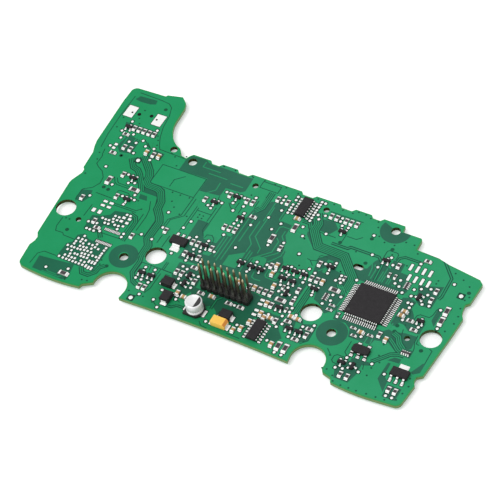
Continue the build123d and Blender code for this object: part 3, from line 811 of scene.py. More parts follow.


# %% [markdown]
# ## Where the copper was etched away
#
# The outlines below are in millimetres from the middle of the screw holes. Each is a field of
# bare laminate, which the lacquer makes dark, except the two marked near the pin header, which are
# painted shade cast by the header. They were set out as an engineer would redraw an old board:
# first the large fields, then the islands of copper left in them.

# %% Bare laminate fields
BARE_FIELDS = [
    [(-45.4, 27.6), (-38, 28), (-36.5, 27), (-17.2, 26.6), (-17, 20), (-18.5, 18.8), (-24.5, 18.6),
     (-24.6, 14.4), (-30, 13.8), (-33, 13.6), (-33.1, 19.9), (-45.4, 19.6)],
    [(-79.7, 44.6), (-78.6, 46.8), (-71.2, 47.2), (-70.8, 45.2), (-73, 44.4), (-77, 44.2)],
    [(-76.8, 32.9), (-62.3, 32.9), (-61.8, 29.9), (-75.6, 29.4)],
    [(-72.4, 27.4), (-66.6, 26.8), (-66.5, 19.4), (-71, 18.4), (-73.6, 21)],
    [(-59, 24.6), (-54.4, 24.2), (-54.4, 20.4), (-59.4, 20.4)],
    [(-53.4, 9.6), (-46, 9.3), (-43.4, 5.8), (-43.8, 3.2), (-45.8, 4.6), (-52.6, 4.6), (-53.6, 6)],
    [(-52.6, 3.4), (-49.6, 3.4), (-48.6, 1.4), (-52, 1.2)],
    [(-57, -7.5), (-51, -6.2), (-49.9, -6.8), (-49.9, -12.4), (-52, -15), (-57.2, -15.2), (-58, -19.4),
     (-63.6, -19.2), (-63.8, -12.6), (-60.5, -11.6), (-57.6, -9.8)],
    [(-63.8, -23), (-61.6, -21.4), (-59, -23), (-56.8, -23.2), (-56.4, -21.6), (-49.4, -21.6),
     (-49.4, -35.4), (-56, -35.6), (-65.6, -35), (-65.4, -28), (-63.8, -26.5)],
    [(-71.6, -37), (-65.5, -36.4), (-57.4, -35.4), (-56.4, -41), (-57.6, -43.2), (-71, -42.9)],
    [(-74.4, -3.4), (-70.2, -2.2), (-69.4, -5.6), (-70.8, -8.8), (-74.2, -8.6)],
    [(-26.2, 1.3), (-21.3, 1.3), (-21.4, -3.4), (-19.8, -6), (-14.6, -6), (-14.2, -1.2), (-11.2, -1.2),
     (-10.4, 4.8), (-10.4, 9.4), (-10, 13), (-6.8, 15.6), (-5.6, 19.6), (1.9, 19.8), (1.9, 12.8),
     (6.8, 12.4), (6.8, 7.4), (8.7, 4.6), (8.8, 2.8), (10.6, 0.4), (10.8, -2), (12.4, -4.4), (12.4, -8.4),
     (24, -8.6), (24, -4), (22.6, 3), (25.6, 5.6), (30.4, 5.6), (31, 0.2), (33.6, -0.2), (36.6, -0.4),
     (37.4, -5), (39.6, -9), (39.6, -15.4), (36.2, -18.6), (33, -15.6), (30, -14.4), (28.8, -9.4),
     (24.8, -9.6), (24.6, -20.6), (24.2, -30), (27.9, -34.3), (26.5, -36.5), (22.4, -36.6), (22.4, -30),
     (14.8, -30), (13.4, -33), (13, -26), (13, -20.8), (10.4, -19.6), (0.6, -17), (-8, -15.4),
     (-13.4, -16.8), (-16, -17.5), (-24, -17.6), (-24, -13), (-25.8, -8)],
    [(-22.3, -19), (-14.8, -17.5), (-11.6, -19.6), (-11, -28), (-12.6, -31), (-15.4, -35), (-17.2, -30.4),
     (-22, -25.5)],
    [(-34.4, -27.2), (-32.6, -26.6), (-30.2, -28.6), (-28.4, -26.6), (-26.8, -27.4), (-27, -32),
     (-34, -32)],
    [(24.8, -23.8), (30.6, -23.4), (31.8, -25.6), (36.6, -24), (36.8, -31.4), (33.8, -33.8), (31, -33.6),
     (30, -31), (26.6, -31), (25, -28)],
    [(16.2, 19.6), (20.5, 20), (23, 17.5), (21.2, 14.2), (17.3, 14.2), (15.7, 16.5)],
    [(12.4, 22.2), (16, 19), (16.4, 14.4), (20.4, 9.2), (30.9, 8.6), (39.6, -0.4), (39.7, -5), (37.6, -5),
     (37.4, -2), (30.2, 5.4), (19.4, 5.4), (13.8, 10.8), (12.2, 15), (12.2, 20)],
    [(36.6, 3.9), (40.8, 5.4), (42, 9.8), (44.2, 12.2), (46.8, 9.4), (49.8, 7.8), (56, 5.8), (58.6, 6.2),
     (58.8, 2.6), (57.8, -0.3), (39.2, -0.3), (36.6, 2.6)],
    [(39.4, -15.2), (42, -17.9), (58.6, -17), (60, -15.6), (63.5, -16.3), (68.4, -20.6), (72, -20.6),
     (72, -24), (67.4, -24), (62.4, -20.8), (57.6, -21.8), (57.2, -24.2), (48.6, -24.2), (47.6, -21),
     (45, -19.2), (40.2, -19.4)],
    [(58.2, -1.2), (60.6, -0.2), (63.6, -1.2), (63.2, -4.2), (65, -6.4), (66.2, -8.4), (70.6, -8.6),
     (70.6, -13.4), (66.4, -13.6), (64, -11.8), (61.9, -11.6), (61.6, -13.4), (60.2, -13.6), (58.2, -12)],
    [(62.2, -15.6), (64, -15.4), (66, -14.8), (70.4, -14.6), (70.8, -20), (69.4, -21.2), (66.4, -21.2),
     (64.2, -19.6)],
    # Painted shade: a dark field in front of the pin header, where the header shades the board.
    [(-12.4, -26.8), (14.2, -26.8), (14.6, -35.4), (11.4, -36.4), (8.6, -35.6), (2.4, -35.6), (0.8, -33.2),
     (-1.4, -31.6), (-4.2, -33), (-5.4, -36.4), (-11, -30.6)],
    [(60.8, 5.8), (69.4, 8.8), (69.4, -1.8), (64.8, -2), (62.4, 0), (62, 3)],
    [(71.6, -0.4), (73.6, -0.6), (73.6, -8.4), (71.8, -6.4)],
    [(66.2, -28.4), (67.2, -28.4), (67.4, -33.5), (69.6, -36), (70, -40.2), (65.9, -35.8)],
    [(65.5, -27.6), (67.3, -25.6), (69.7, -25.4), (69.8, -27.3)],
    [(77.2, -24), (78, -24), (78, -28), (76, -29.5), (75, -29)],
    [(54, -31.6), (60.3, -31), (61, -32.2), (58.8, -33), (54, -33)],
    [(50, -33.2), (58.4, -33), (58.6, -37.2), (57.4, -41.6), (52, -41.6), (50.2, -37)],
    [(70.2, -36.6), (75.4, -36.6), (75.4, -41.8), (70.4, -41.8)],
    # Painted shade: a dark field under and round the pin header, where the header shades the board.
    [(-9.4, -17), (13, -21), (13, -33), (6.2, -33), (4.4, -29.6), (-0.6, -28.6), (-2.4, -26), (-9.6, -25)],
    [(47.8, 12.6), (52.4, 12.6), (52.6, 8.6), (56, 8.4), (56, 6), (49, 6)],
]
cut_to_board(make_piece("bare_laminate", sheets(BARE_FIELDS, 0.0, LAYER_TOP["field"]), BARE))

# %% [markdown]
# ## Rings round the screws
#
# Copper is kept away from each screw head, so a wide dark ring surrounds each hole. A ring is one
# outline that runs round the outside and comes back round the inside. The one at the rear is cut
# by the board's edge, so its outline stops there.

# %% Screw rings
def ring(x, y, outer, inner, start=0.0, stop=360.0, around=60):
    """Outline of a ring: x + R cos a, y + R sin a outwards, then the same backwards inside."""
    a = np.radians(np.linspace(start, stop, around))[:, None]
    turn = np.concatenate([np.cos(a), np.sin(a)], 1)
    return np.concatenate([outer * turn, inner * turn[::-1]]) + (x, y)


SCREW_RINGS = [ring(-42.7, -24.8, 5.5, 1.85), ring(42.7, -24.9, 5.6, 1.85),
               ring(42.5, 25.0, 5.8, 1.78, start=157, stop=366)]
cut_to_board(make_piece("screw_rings", sheets(SCREW_RINGS, 0.0, LAYER_TOP["ring"]), BARE))

# %% [markdown]
# ## Islands of copper
#
# Small pours that were kept inside the dark fields. They are light again, like the board itself.
# Cutting them out of the fields would look the same, but a second sheet is easier to move.

# %% Copper islands
ISLANDS = [
    [(-31.4, 28.2), (-24.9, 28.2), (-25.6, 26.9), (-30.8, 26.9)],
    [(6.8, 9.8), (12.9, 9.4), (14.2, 9.2), (18.6, 5.4), (24.5, 5.4), (24.5, 4), (22.8, 3), (22.7, 1.5),
     (20.5, 0.8), (19, 1.2), (19, 0), (21, -2.4), (20.5, -3.8), (14, -4), (12.4, -4.3), (10.9, -2),
     (10.8, 0.4), (8.9, 2.8), (8.8, 4.7), (6.9, 7.4)],
    [(2.1, 13), (2.1, 16.5), (6, 16.4), (6, 15), (7.2, 14.5), (7.2, 12.6), (3.6, 12.6)],
    [(-2.5, -5.4), (-2.5, -13.4), (-7.6, -13.8), (-7.6, -9)],
    [(1.3, -6.5), (3, -5), (5.8, -5), (6.4, -6.5), (6.3, -8.7), (1.3, -8.7)],
    [(9.4, -9), (13.4, -9), (13.4, -12), (9.8, -12)], [(30.9, 5.2), (35.5, 0.6), (33.6, 0), (31, 0.2)],
    [(26.3, 3.6), (28.4, 3.6), (28.4, 2.2), (26.3, 2.2)],
    [(26.8, -0.4), (28.2, -0.4), (28.2, -2.6), (26.8, -2.4)],
    [(-19.6, -3.4), (-15.4, -3.4), (-15, -5.6), (-19, -5.6)],
    [(-17, -10.6), (-13.6, -10.6), (-14, -12.2), (-16.6, -12.4)],
    [(29, -25.8), (31.6, -25.8), (31.2, -28.2), (29.6, -28.4)],
    [(58.4, 2.6), (61.4, 2.6), (61.4, 0), (58.4, 0)],
    [(15.2, -24.6), (24.2, -24.4), (24, -26), (15, -26.4)],
    [(9.6, 12.2), (14, 12.2), (13, 13.4), (12, 14), (9.8, 13.8)],
    [(-70.4, 16.6), (-66.8, 16.6), (-66.8, 18.2), (-70.4, 18.2)],
]
cut_to_board(make_piece("copper_islands", sheets(ISLANDS, 0.0, LAYER_TOP["island"]), TRACK))

# %% [markdown]
# ## Tracks
#
# A track is a flat strip carried along a path. Tracks run in bundles, so a helper takes the middle
# path of a bundle and shifts it sideways once for each track. A dark strip under the bundle makes
# the gaps between the tracks.

# %% Bundles of tracks
def shifted(path, offset):
    """The path moved sideways by an offset, so that it stays parallel to the old one."""
    path = np.asarray(path, float)
    return path + mitres(path) * offset


BUNDLES = [
    ([(-61.2, 20.4), (-55.2, 14.6), (-54.0, 12.5), (-53.6, 9.4), (-52, 8.2), (-47.8, 8.1),
      (-46, 7.2), (-43.4, 3.2), (-42.8, -0.5), (-40.2, -3.5), (-38.9, -5.8), (-38.9, -14),
      (-36.9, -17), (-36.7, -22)], 4),
    ([(-64.9, 17.6), (-62.0, 13.9), (-59.8, 13.4), (-57.8, 11.6), (-54.6, 7.4), (-52.9, 4.8)], 3),
    ([(-36.7, -22), (-35.9, -24.6), (-35.9, -30), (-33.4, -33.5), (-31.4, -34.4)], 2),
    ([(-54.4, -35.4), (-52.8, -37.6), (-50.2, -37.6), (-48.3, -35.4), (-48.1, -33), (-46.6, -31.5)], 2),
    ([(-51, -6.4), (-48.3, -7.2), (-47, -9.2), (-46.9, -18.8)], 2),
    ([(-59.4, -16.6), (-57.2, -18.2), (-55.2, -20.8)], 2),
    ([(12.6, 21.2), (15.3, 16.8), (15.4, 13.4), (20, 7.5), (30.8, 7.2), (38.5, -0.9), (38.6, -6.4)], 5),
    ([(9.4, 16), (12.4, 16), (13.8, 14.0)], 2),
    ([(-7.2, 23.4), (-7.2, 15.6), (-9, 13)], 3),
    ([(23.9, 10.8), (30.2, 10.8), (31.1, 11.8), (42.4, 11.8), (45, 9.4), (45.6, 1.6)], 1),
    ([(49.2, 12.4), (49.4, 14.2), (51, 15.4), (57.2, 15.4)], 1),
    ([(56.2, 20.4), (63.4, 20.2), (64.9, 19.1), (70.2, 13.2), (70.5, 4.5), (70, 3)], 1),
    ([(60.8, -30.5), (65.4, -25.1), (67.6, -24), (70, -23.8)], 2),
    ([(62.2, -16.3), (64.5, -17.2), (66, -19.6), (68.4, -21.4)], 3),
    ([(62, -18.9), (64.4, -20.6), (66.6, -22.4), (67.8, -22.8)], 2),
    ([(26.9, -9.8), (26.9, -22.4)], 3),
    ([(34.8, -4.6), (38.6, -8.2)], 3),
    ([(-13.2, -36.6), (-8.8, -36.4)], 1),
    ([(-18.6, -38.2), (-14.8, -38.0), (-13.2, -36.6)], 1),
    ([(0.0, -26.9), (-1.4, -28.6), (-1.4, -33)], 1),
]
TRACK_WIDTH = 0.4
TRACK_PITCH = 0.68
GAP_MARGIN = 0.5
tracks = []
under = []
for path, count in BUNDLES:
    under.append(carry(path, count * TRACK_PITCH + GAP_MARGIN, 0.0, LAYER_TOP["track gap"]))
    for i in range(count):
        middle_line = shifted(path, (i - (count - 1) / 2) * TRACK_PITCH)
        tracks.append(carry(middle_line, TRACK_WIDTH, 0.0, LAYER_TOP["track"]))
GAP_GREEN = lacquer_finish("green_in_gaps", colour(26, 86, 68), colour(18, 74, 58))
cut_to_board(make_piece("track_gaps", scaled(join_shapes(under)), GAP_GREEN))

# %% [markdown]
# ## The board's bare rim
#
# Copper stops a little short of the board's edge, and light shines through the thin laminate
# there, so a narrow rim looks yellower. The rim follows the edge itself: we read the corners of
# the board's upper edge in order, and carry a flat strip along them, half its width further in.
# Drawing the rim by hand would repeat an outline that the solid model already has.

# %% Rim
def edge_loops(mesh, level):
    """Closed loops of corners (k, 2) in millimetres, where flat top faces meet upright ones."""
    work = bmesh.new()
    work.from_mesh(mesh)
    bmesh.ops.remove_doubles(work, verts=work.verts, dist=1e-6)
    after = {}
    for face in work.faces:
        if face.normal.z < 0.9 or abs(face.verts[0].co.z - level) > 1e-6:
            continue
        for corner in face.loops:
            other = [side for side in corner.edge.link_faces if side is not face]
            if other and other[0].normal.z < 0.9:
                after[tuple(corner.vert.co.xy)] = tuple(corner.link_loop_next.vert.co.xy)
    work.free()
    loops = []
    while after:
        start = next(iter(after))
        loop = [start]
        following = after.pop(start)
        while following != start:
            loop.append(following)
            following = after.pop(following)
        loops.append(np.array(loop) / MM)
    return loops


def inner_lining(loop, width, bottom, thickness):
    """A strip of a width laid just inside the board's material, all the way round a loop."""
    closed = np.concatenate([loop, loop[:1]])
    return carry(shifted(closed, width / 2), width, bottom, thickness)


RIM_WIDTH = 0.45
OUTLINE_SPAN = 50
loops = edge_loops(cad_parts["board"].data, TOP)
spans = [np.ptp(loop, axis=0).max() for loop in loops]
rims = [inner_lining(loop, RIM_WIDTH, 0.0, LAYER_TOP["rim"])
        for loop, span in zip(loops, spans) if span > OUTLINE_SPAN]
print(len(loops), "loops of corners, the longest spans", round(max(spans), 1), "mm")
cut_to_board(make_piece("bright_rim", scaled(join_shapes(rims)), RIM))

# %% [markdown]
# ## Painted shade in the holes
#
# The walls of the larger holes lie in shade, so they get a dark olive-brown painted shade. The
# loops of corners that we just read also run round every hole. A very thin lining along the
# larger ones carries that painted shade, and the pin holes stay as they are, since pins fill them.

# %% Painted shade in the holes
# Dark olive-brown painted shade for the walls of the larger holes.
HOLE_WALL_SHADE = finish("painted_wall_shade", colour(104, 100, 46), colour(66, 66, 32), 900, (0.6, 0.8), 3000, 0.00002,
              gloss=0.2)
LINING = 0.03
SMALLEST_LINED = 1.4
EDGE_MARGIN = 0.1
walls = [inner_lining(loop, LINING, EDGE_MARGIN - FACE, FACE - 2 * EDGE_MARGIN)
         for loop, span in zip(loops, spans) if SMALLEST_LINED < span < OUTLINE_SPAN]
make_piece("hole_wall_shade", scaled(join_shapes(walls)), HOLE_WALL_SHADE)

# %% [markdown]
# ## Single tracks in the dark fields
#
# Between the chips, tracks run one by one. Each is a path of its own, with the same width and
# height as the tracks of the bundles, and all of them together become one piece.

# %% Single tracks in the dark fields
SINGLE_TRACKS = [
    [(-27.6, 20), (-27.4, 16.2), (-30.2, 13.5), (-30.3, 7)], [(-9.3, 21.5), (-8.4, 19.8), (-8.4, 15)],
    [(-9.3, 12.6), (-9.3, -12)], [(-7.4, 9.5), (-7.4, -2)], [(-3.9, 19.5), (-3.8, 10)],
    [(-3.2, 17.5), (-3, 11.5), (-3, 2.5), (1.4, -1.8), (1.5, -4.2)],
    [(-4.9, 9.5), (-4.9, 1.5), (-2.6, -1.2), (-2.6, -5.2)], [(1.2, 19), (1.2, 13.2), (2.7, 11.6)],
    [(3.1, 6.6), (3.1, 9.9), (4.2, 10.6), (12.5, 10.5), (13.4, 10)], [(5.9, 9), (5.9, 6.5), (7.5, 4.6)],
    [(4.6, 5), (6, 3.6), (6, -1.6), (3.6, -4), (0.6, -7), (0.6, -8.6)],
    [(8.3, -0.4), (8.2, -1.2), (1.8, -7.4)],
    [(9.2, 2.6), (9.9, 0.5), (9.9, -1.9), (8.2, -4.5), (6.8, -6.2)], [(-13.2, -1.5), (-13.2, -9)],
    [(-12.1, -1.5), (-12.1, -12)], [(-10.7, -1), (-10.7, -13)], [(-1.4, -4), (-1.4, -8.4)],
    [(-0.4, -4.4), (-0.4, -14)], [(4.6, -12), (4.9, -14.5), (6.3, -15), (8.6, -14.8)],
    [(8.9, -8.5), (8.9, -11.8), (9.6, -12.6), (13.2, -12.7), (14.2, -11.8)],
    [(-37.6, 27), (-37.6, 24.4), (-30, 24.4)], [(-34, 22.4), (-26, 22.4)], [(-24, 21.2), (-18.6, 21.2)],
    [(-73.9, 26), (-73.2, 21)], [(-72.4, 31), (-71.8, 24.5), (-71.8, 20.6)], [(-66.2, 29.8), (-66.2, 26.4)],
    [(-67.2, 29.8), (-67.4, 25.6)], [(-68.4, 29.6), (-68.6, 25)],
    [(-61.6, 27.6), (-60.4, 24.4), (-60.4, 20.6)], [(44, 1.8), (44, 6), (42.6, 8.2)],
    [(46.8, 1.8), (46.8, 6.6)], [(47.6, 1.8), (47.6, 8.4)], [(48.4, 1.8), (48.4, 5)],
    [(50, 1.8), (50, 5.4)], [(50.8, 1.8), (50.8, 4.4)], [(52.4, 1.8), (52.4, 3)],
    [(53.2, 1.8), (53.2, 2.6)], [(42.9, 2.6), (42.4, 6.4), (41.4, 8.4)], [(54.9, -21.5), (54.9, -24.2)],
    [(56.7, -21.5), (56.9, -23.8)], [(59.2, -5.4), (59.2, -13.6)], [(60.2, -12.6), (60.2, -15.4)],
    [(25.4, -31.4), (28, -34)], [(-20.4, -18.6), (-16.8, -18.2)],
    [(-65.8, -41.2), (-64.8, -42), (-61, -42)], [(-67, -42.7), (-59.8, -42.7), (-58.8, -41.9)],
    [(39.4, -9.4), (38.8, -13.8)], [(37.4, -5.6), (35, -6.2)], [(19.6, -14), (22.4, -17)],
    [(14.2, -19.9), (16.6, -20.9)], [(22.4, -10.4), (22.4, -11.6)], [(-26, -12.8), (-24.4, -14)],
    [(27.4, 0), (25.4, -2.6)], [(22.2, -2.6), (20.4, -0.4)],
]
tracks += [carry(path, TRACK_WIDTH, 0.0, LAYER_TOP["track"]) for path in SINGLE_TRACKS]
cut_to_board(make_piece("tracks", scaled(join_shapes(tracks)), TRACK))

# %% [markdown]
# ## Gaps cut in the pour
#
# On the light pours the opposite happens: a thin dark gap shows where one copper area ends and
# the next begins. Pairs of gaps with light between them are tracks too.

# %% Gaps
GAPS = [
    [(-79.6, 48.3), (-70, 48), (-66, 47.5), (-64.2, 46), (-62.8, 42), (-62, 36), (-60.4, 31),
     (-58.6, 27.4), (-57.4, 25.6), (-45.6, 25.2)], [(-80.6, 46), (-80.7, 36), (-80.1, 25), (-79, 18)],
    [(-77, 17.7), (-76.6, 15.3), (-76, 14), (-76, 10), (-74.5, 8.8), (-72, 7.5), (-70, 5), (-69.5, 2),
     (-71, -1), (-74, -3), (-74.2, -7), (-73.5, -9)],
    [(-66, 6.8), (-64.5, 4.6), (-63.3, 3.9), (-57.9, 3.9)],
    [(-64.9, 6.9), (-63.6, 5.2), (-62.8, 4.8), (-58, 4.8)],
    [(-61.3, -0.2), (-61, 1.5), (-60, 1.9), (-56.8, 1.8), (-55.3, 0.6)], [(-68.5, -2.6), (-61.3, -2.7)],
    [(-66.6, -8.2), (-66.7, -14.2)], [(-64.6, 27.2), (-61.6, 24.8), (-61.2, 20.6)],
    [(-63.4, 26.8), (-60.4, 24.2), (-60.2, 20.6)], [(-48.8, -6.8), (-48.4, -18.4), (-56.6, -18.6)],
    [(-59.2, -4.4), (-49.7, -4.3), (-48.5, -3)], [(-59.2, -5.2), (-49.4, -5.1)],
    [(-52.3, 9.7), (-52.3, 19.5), (-33.3, 19.5), (-33.3, 9.7), (-52.3, 9.7)],
    [(-33.2, 9.6), (-33.2, 0.4), (-36.7, -3.2), (-36.7, -6.4)],
    [(-32, 9.6), (-32, 0.6), (-35.8, -3), (-35.8, -6.4)], [(-22.3, 1.2), (-22.3, -2.6), (-20.6, -4.9)],
    [(-19.8, -5.4), (-19.6, -3.9), (-17.8, -3.4), (-16.4, -4.5), (-15.8, -6.4)],
    [(24.6, 3.9), (22.9, 2.9), (22.8, 1.4), (20.6, 0.7), (19.2, 1)],
    [(13.2, -18.6), (18.8, -19.2), (24, -18.6)], [(-41.2, 17.6), (-44.4, 14.6), (-44.4, 11)],
    [(33, 17.6), (31.2, 15.8), (27.4, 15.8)],
    [(-45.8, 4.4), (-44, -0.4), (-41.6, -3.4), (-40.6, -6), (-40.6, -13.8), (-43.8, -13.8)],
    [(-47.2, 1.8), (-45.4, -2), (-44.8, -5.4), (-44.8, -12.6)], [(-46.4, -4.6), (-46.2, -12.4)],
    [(-29.8, 6.6), (-29.8, -3.4)], [(-28.9, 6.2), (-28.9, -3.2)], [(-28.7, 5), (-22.9, 5)],
    [(-22.9, 8.8), (-22.9, 1.6)], [(-21.7, 12), (-21.7, 1.4)], [(-24.6, 14.2), (-24.4, 12.6)],
    [(-19.9, 12.8), (-18.4, 11.2), (-17.4, 10.4)], [(-16.3, 14.4), (-16.4, 11.2)],
    [(-14.2, 12.6), (-14.2, 9.6)], [(-13, 27), (-5.5, 27), (-5.5, 23.9), (-13, 23.9), (-13, 27)],
    [(23.8, 11.3), (30, 11.3), (30.8, 12.3), (42.6, 12.3)],
    [(23.8, 10.3), (30.6, 10.3), (31.4, 11.3), (38.8, 11.3)],
    [(43.9, 12.4), (43.9, 15.4), (44.6, 16), (47.8, 16), (48.4, 15.2), (48.4, 13)],
    [(66, -9.5), (66.3, -6.3), (67.2, -5.5), (70.5, -5.4), (71.2, -4), (71.4, -1.4), (72, -0.4)],
    [(-73.5, -18), (-73.4, -22.5), (-72.5, -24.5), (-69.5, -24.3), (-68.6, -25.2), (-64, -25.3)],
    [(-73, -41.4), (-72.8, -36.4), (-71, -34.6), (-65.8, -34.6)], [(-30, -4.8), (-30, -6.4)],
    [(-34.7, -10.5), (-34.7, -14.5)], [(-32, -9.7), (-32, -15.6)], [(-26.6, -20.8), (-26.6, -24.6)],
    [(-25.9, -20.8), (-25.9, -24.6), (-20, -24.6)], [(-35, -24.5), (-22.4, -24.5)],
    [(-26, -26.4), (-26, -33.8), (-27, -36.4)], [(-34.9, -24.6), (-34.9, -30.6), (-33, -33.6)],
    [(-31, -24.6), (-30.6, -27)], [(-26.9, -24.6), (-27, -27)], [(-21, -36.4), (-20, -34.9)],
    [(-17.2, -33), (-13, -35)],
    [(52, -32.4), (48.8, -32.5), (48, -33.3), (48, -35.2), (48.8, -36), (50.3, -36.1)],
    [(76.5, -17.6), (77.7, -18), (77.8, -24)], [(71.2, -15.4), (71.4, -17.4), (72.6, -17.6)],
    [(70.4, -13.9), (70.6, -17), (71.6, -19.4), (71.8, -20.6)], [(64.6, -13.6), (65.4, -17), (67.2, -19.4)],
    [(64.2, -7.8), (63.4, -5.6), (62.6, -4.8)], [(20.6, 0.6), (22.4, -1.2)], [(24, 13.6), (17.6, 13.6)],
    [(26.9, 17), (26.9, 13)], [(-10, 18), (-10, 14.4)], [(36.6, -25), (36.8, -31.4), (34.6, -33.8)],
    [(58.9, -32.4), (59.6, -34.6)], [(22.6, 3.4), (23.2, 4.2), (25.6, 4.4)], [(16.6, 23.9), (30, 23.9)],
    [(16.6, 20.1), (22.6, 20.1)], [(-30.5, -39), (-28.4, -38.6)], [(-22, -38.4), (-20.4, -39.4)],
    [(-2.4, -39.4), (-1, -40.8), (1.6, -41)], [(-22.4, -26), (-24, -26), (-24, -30)],
    [(44.4, -31.4), (47, -33.8)], [(50.6, -25.4), (50.6, -30.4)], [(50.6, -30.4), (52, -31.6)],
    [(9, -40.2), (14.4, -40.3)], [(-57, 18.6), (-54.4, 15.8), (-53, 13.8)],
]
GAP_WIDTH = 0.3
cut_to_board(make_piece("pour_gaps", strips(GAPS, GAP_WIDTH, 0.0, LAYER_TOP["pour gap"]), GAP_GREEN))

# %% [markdown]
# ## Vias under the lacquer
#
# Small holes that join the two sides are covered by the lacquer, and show as dark dots with a
# slight dimple. A shallow dish, two circles with the middle one lower, is enough for each.

# %% Vias
VIAS = [
    (-73.1, 40.8), (-73, 36.4), (-71.5, 34), (-79, 34.5), (-78.8, 29.2), (-61.5, 31.2), (-60.3, 29.3),
    (-59.4, 27), (-50, 24.6), (-47.2, 20.9), (-52, 25.6), (-46, 26.4), (-78, 15.2), (-30.4, 27.7),
    (-25.4, 27.6), (-18.2, 27.6), (-17.6, 27.2), (-12.8, 27.5), (-8.4, 27.4), (-3.8, 27.6), (1.6, 26.8),
    (9.6, 27.4), (16.2, 27.4), (20.4, 26.2), (24.4, 26.3), (26.2, 27.6), (29.2, 27.5), (31.5, 26.7),
    (34.8, 26.3), (35.9, 24), (38.1, 20.4), (41.1, 18.6), (45, 18.8), (48.2, 21.7), (51.5, 21.7),
    (54.3, 18.6), (33.7, 10.7), (46.2, 14.6), (53.2, 12.2), (66.4, 17.4), (70.4, 15.9), (74.2, 14.3),
    (77.4, 12.4), (79.3, 8.2), (78.4, 6.4), (78.6, 2.5), (79.4, -1), (79.4, -4.4), (78, -8.6),
    (66.3, 10.5), (66.2, 9), (-45.4, 8.6), (-41.8, 8.9), (-38.4, 8.8), (-34.6, 9), (-39.8, 5),
    (-37.6, 2.8), (-34, 0.6), (-31, 0.8), (-14, 19.3), (-27, 3.4), (-25.4, 3.4), (-27, 2.1), (-25.4, 2.1),
    (-48.3, -2.9), (-51.6, 0.2), (-27.2, 8.4), (18, -3), (15.4, 0.9), (32.9, 0.4), (-32.6, -37.7),
    (-26.5, -38), (-22.2, -38.8), (-77, 12), (-77.4, 4), (62, -27), (62, -32.8), (62, -36.2), (76, -31.4),
    (77, -34.6), (76.4, -38), (75.6, -41.2), (72, -42.8), (68.8, -43), (65.3, -43.1), (61.6, -43.4),
    (58.7, -43.4), (55.7, -43.5), (52.5, -43), (51.3, -41), (48.3, -39.4), (46.5, -33.7), (35.5, -32.3),
    (-50, -28.2), (-49.2, -29.6), (-51, -40.4), (-49, -40), (-48.8, -31.6), (64.4, -11.6), (61.4, -22.2),
    (-72.2, -17.7), (-70.7, -17.7), (13.9, 8.7), (22.6, 8.8), (63.5, -29.6), (46.6, -39.6), (-56.9, -42.8),
]
DARK_SPOTS = [
    (-65.8, 44.3), (-68.8, -22.4), (-46, -31.3), (36.2, 18.3), (45.2, 16.8), (26.5, 12.3), (39.2, 7.4),
    (74.2, -19.4), (62.2, -15.6), (78.4, 9.8), (-65, 0.5), (-67.2, 0.9), (-69.4, 17.1), (-57.1, -41.8),
    (62, -13), (-1.4, -16.4),
]


def dish(radius, depth, around=10):
    """Circles at full height, then smaller and lower: z = -depth (1 - (r/R)^2), and a flat foot."""
    outlines = [circle(radius, around), circle(radius, around), circle(radius * 0.55, around)]
    return shell(lift_rings(outlines, [-depth, 0, -depth * 0.5]))


def spots_at(places, level):
    """Places (x, y) as rows of x, y and a level above the board's upper face."""
    return np.column_stack([np.asarray(places, float), np.full(len(places), FACE + level)])


LACQUERED_HOLE = lacquer_finish("green_in_hole", colour(22, 92, 66), colour(16, 78, 56))
VIA_RADIUS = 0.36
SPOT_RADIUS = 0.75
DIMPLE_DEPTH = 0.02
vias = join_shapes([copies(dish(VIA_RADIUS, DIMPLE_DEPTH), spots_at(VIAS, LAYER_TOP["via"]), 0),
                    copies(dish(SPOT_RADIUS, DIMPLE_DEPTH, 16), spots_at(DARK_SPOTS, LAYER_TOP["via"]), 0)])
make_piece("lacquered_vias", scaled(vias), LACQUERED_HOLE)

# %% [markdown]
# ## Solder shapes
#
# A tinned dot is a shallow dome: a few circles, each smaller and higher than the last. It is made
# once with twelve points to a circle and copied to every test point, so two hundred dots stay
# cheap. Bare tinned lands are the same idea with round-cornered rectangles.

# %% Solder shapes
def dome(radius, height, around=12):
    """Circles whose radius falls as cos(u) while the height grows as sin(u)."""
    u = np.radians([0, 25, 55])
    outlines = [circle(radius * k, around) for k in np.cos(u)]
    return shell(lift_rings(outlines, height * np.sin(u)))


def land(length, width, height=0.06, radius=0.18):
    """A tinned land: a rectangle with round corners that swells a little towards its middle."""
    inset = min(length, width) * 0.28
    outlines = [
        rounded_rectangle(length, width, radius),
        rounded_rectangle(length - inset, width - inset, radius * 0.8),
        rounded_rectangle(length - 1.9 * inset, width - 1.9 * inset, radius * 0.3)]
    return shell(lift_rings(outlines, [0, height * 0.8, height]))


def lands_at(size, places, turns=0):
    """One size of land at several (x, y)."""
    return copies(land(*size), spots_at(places, LAYER_TOP["land"]), turns)


def clearances_at(length, width, places, turns=0, margin=0.32):
    """A dark sheet a little larger than a land, where the lacquer and copper stop short of it."""
    outline = rounded_rectangle(length + 2 * margin, width + 2 * margin, 0.3)
    return copies(shell(lift_rings([outline, outline], [0, LAYER_TOP["land"]])), spots_at(places, 0), turns)


def clearance(length, width, distance, margin=0.32):
    """One clearance at the height of its land, a distance out from a body's side."""
    return moved(clearances_at(length, width, [(0, 0)], margin=margin), distance, 0, -FACE)
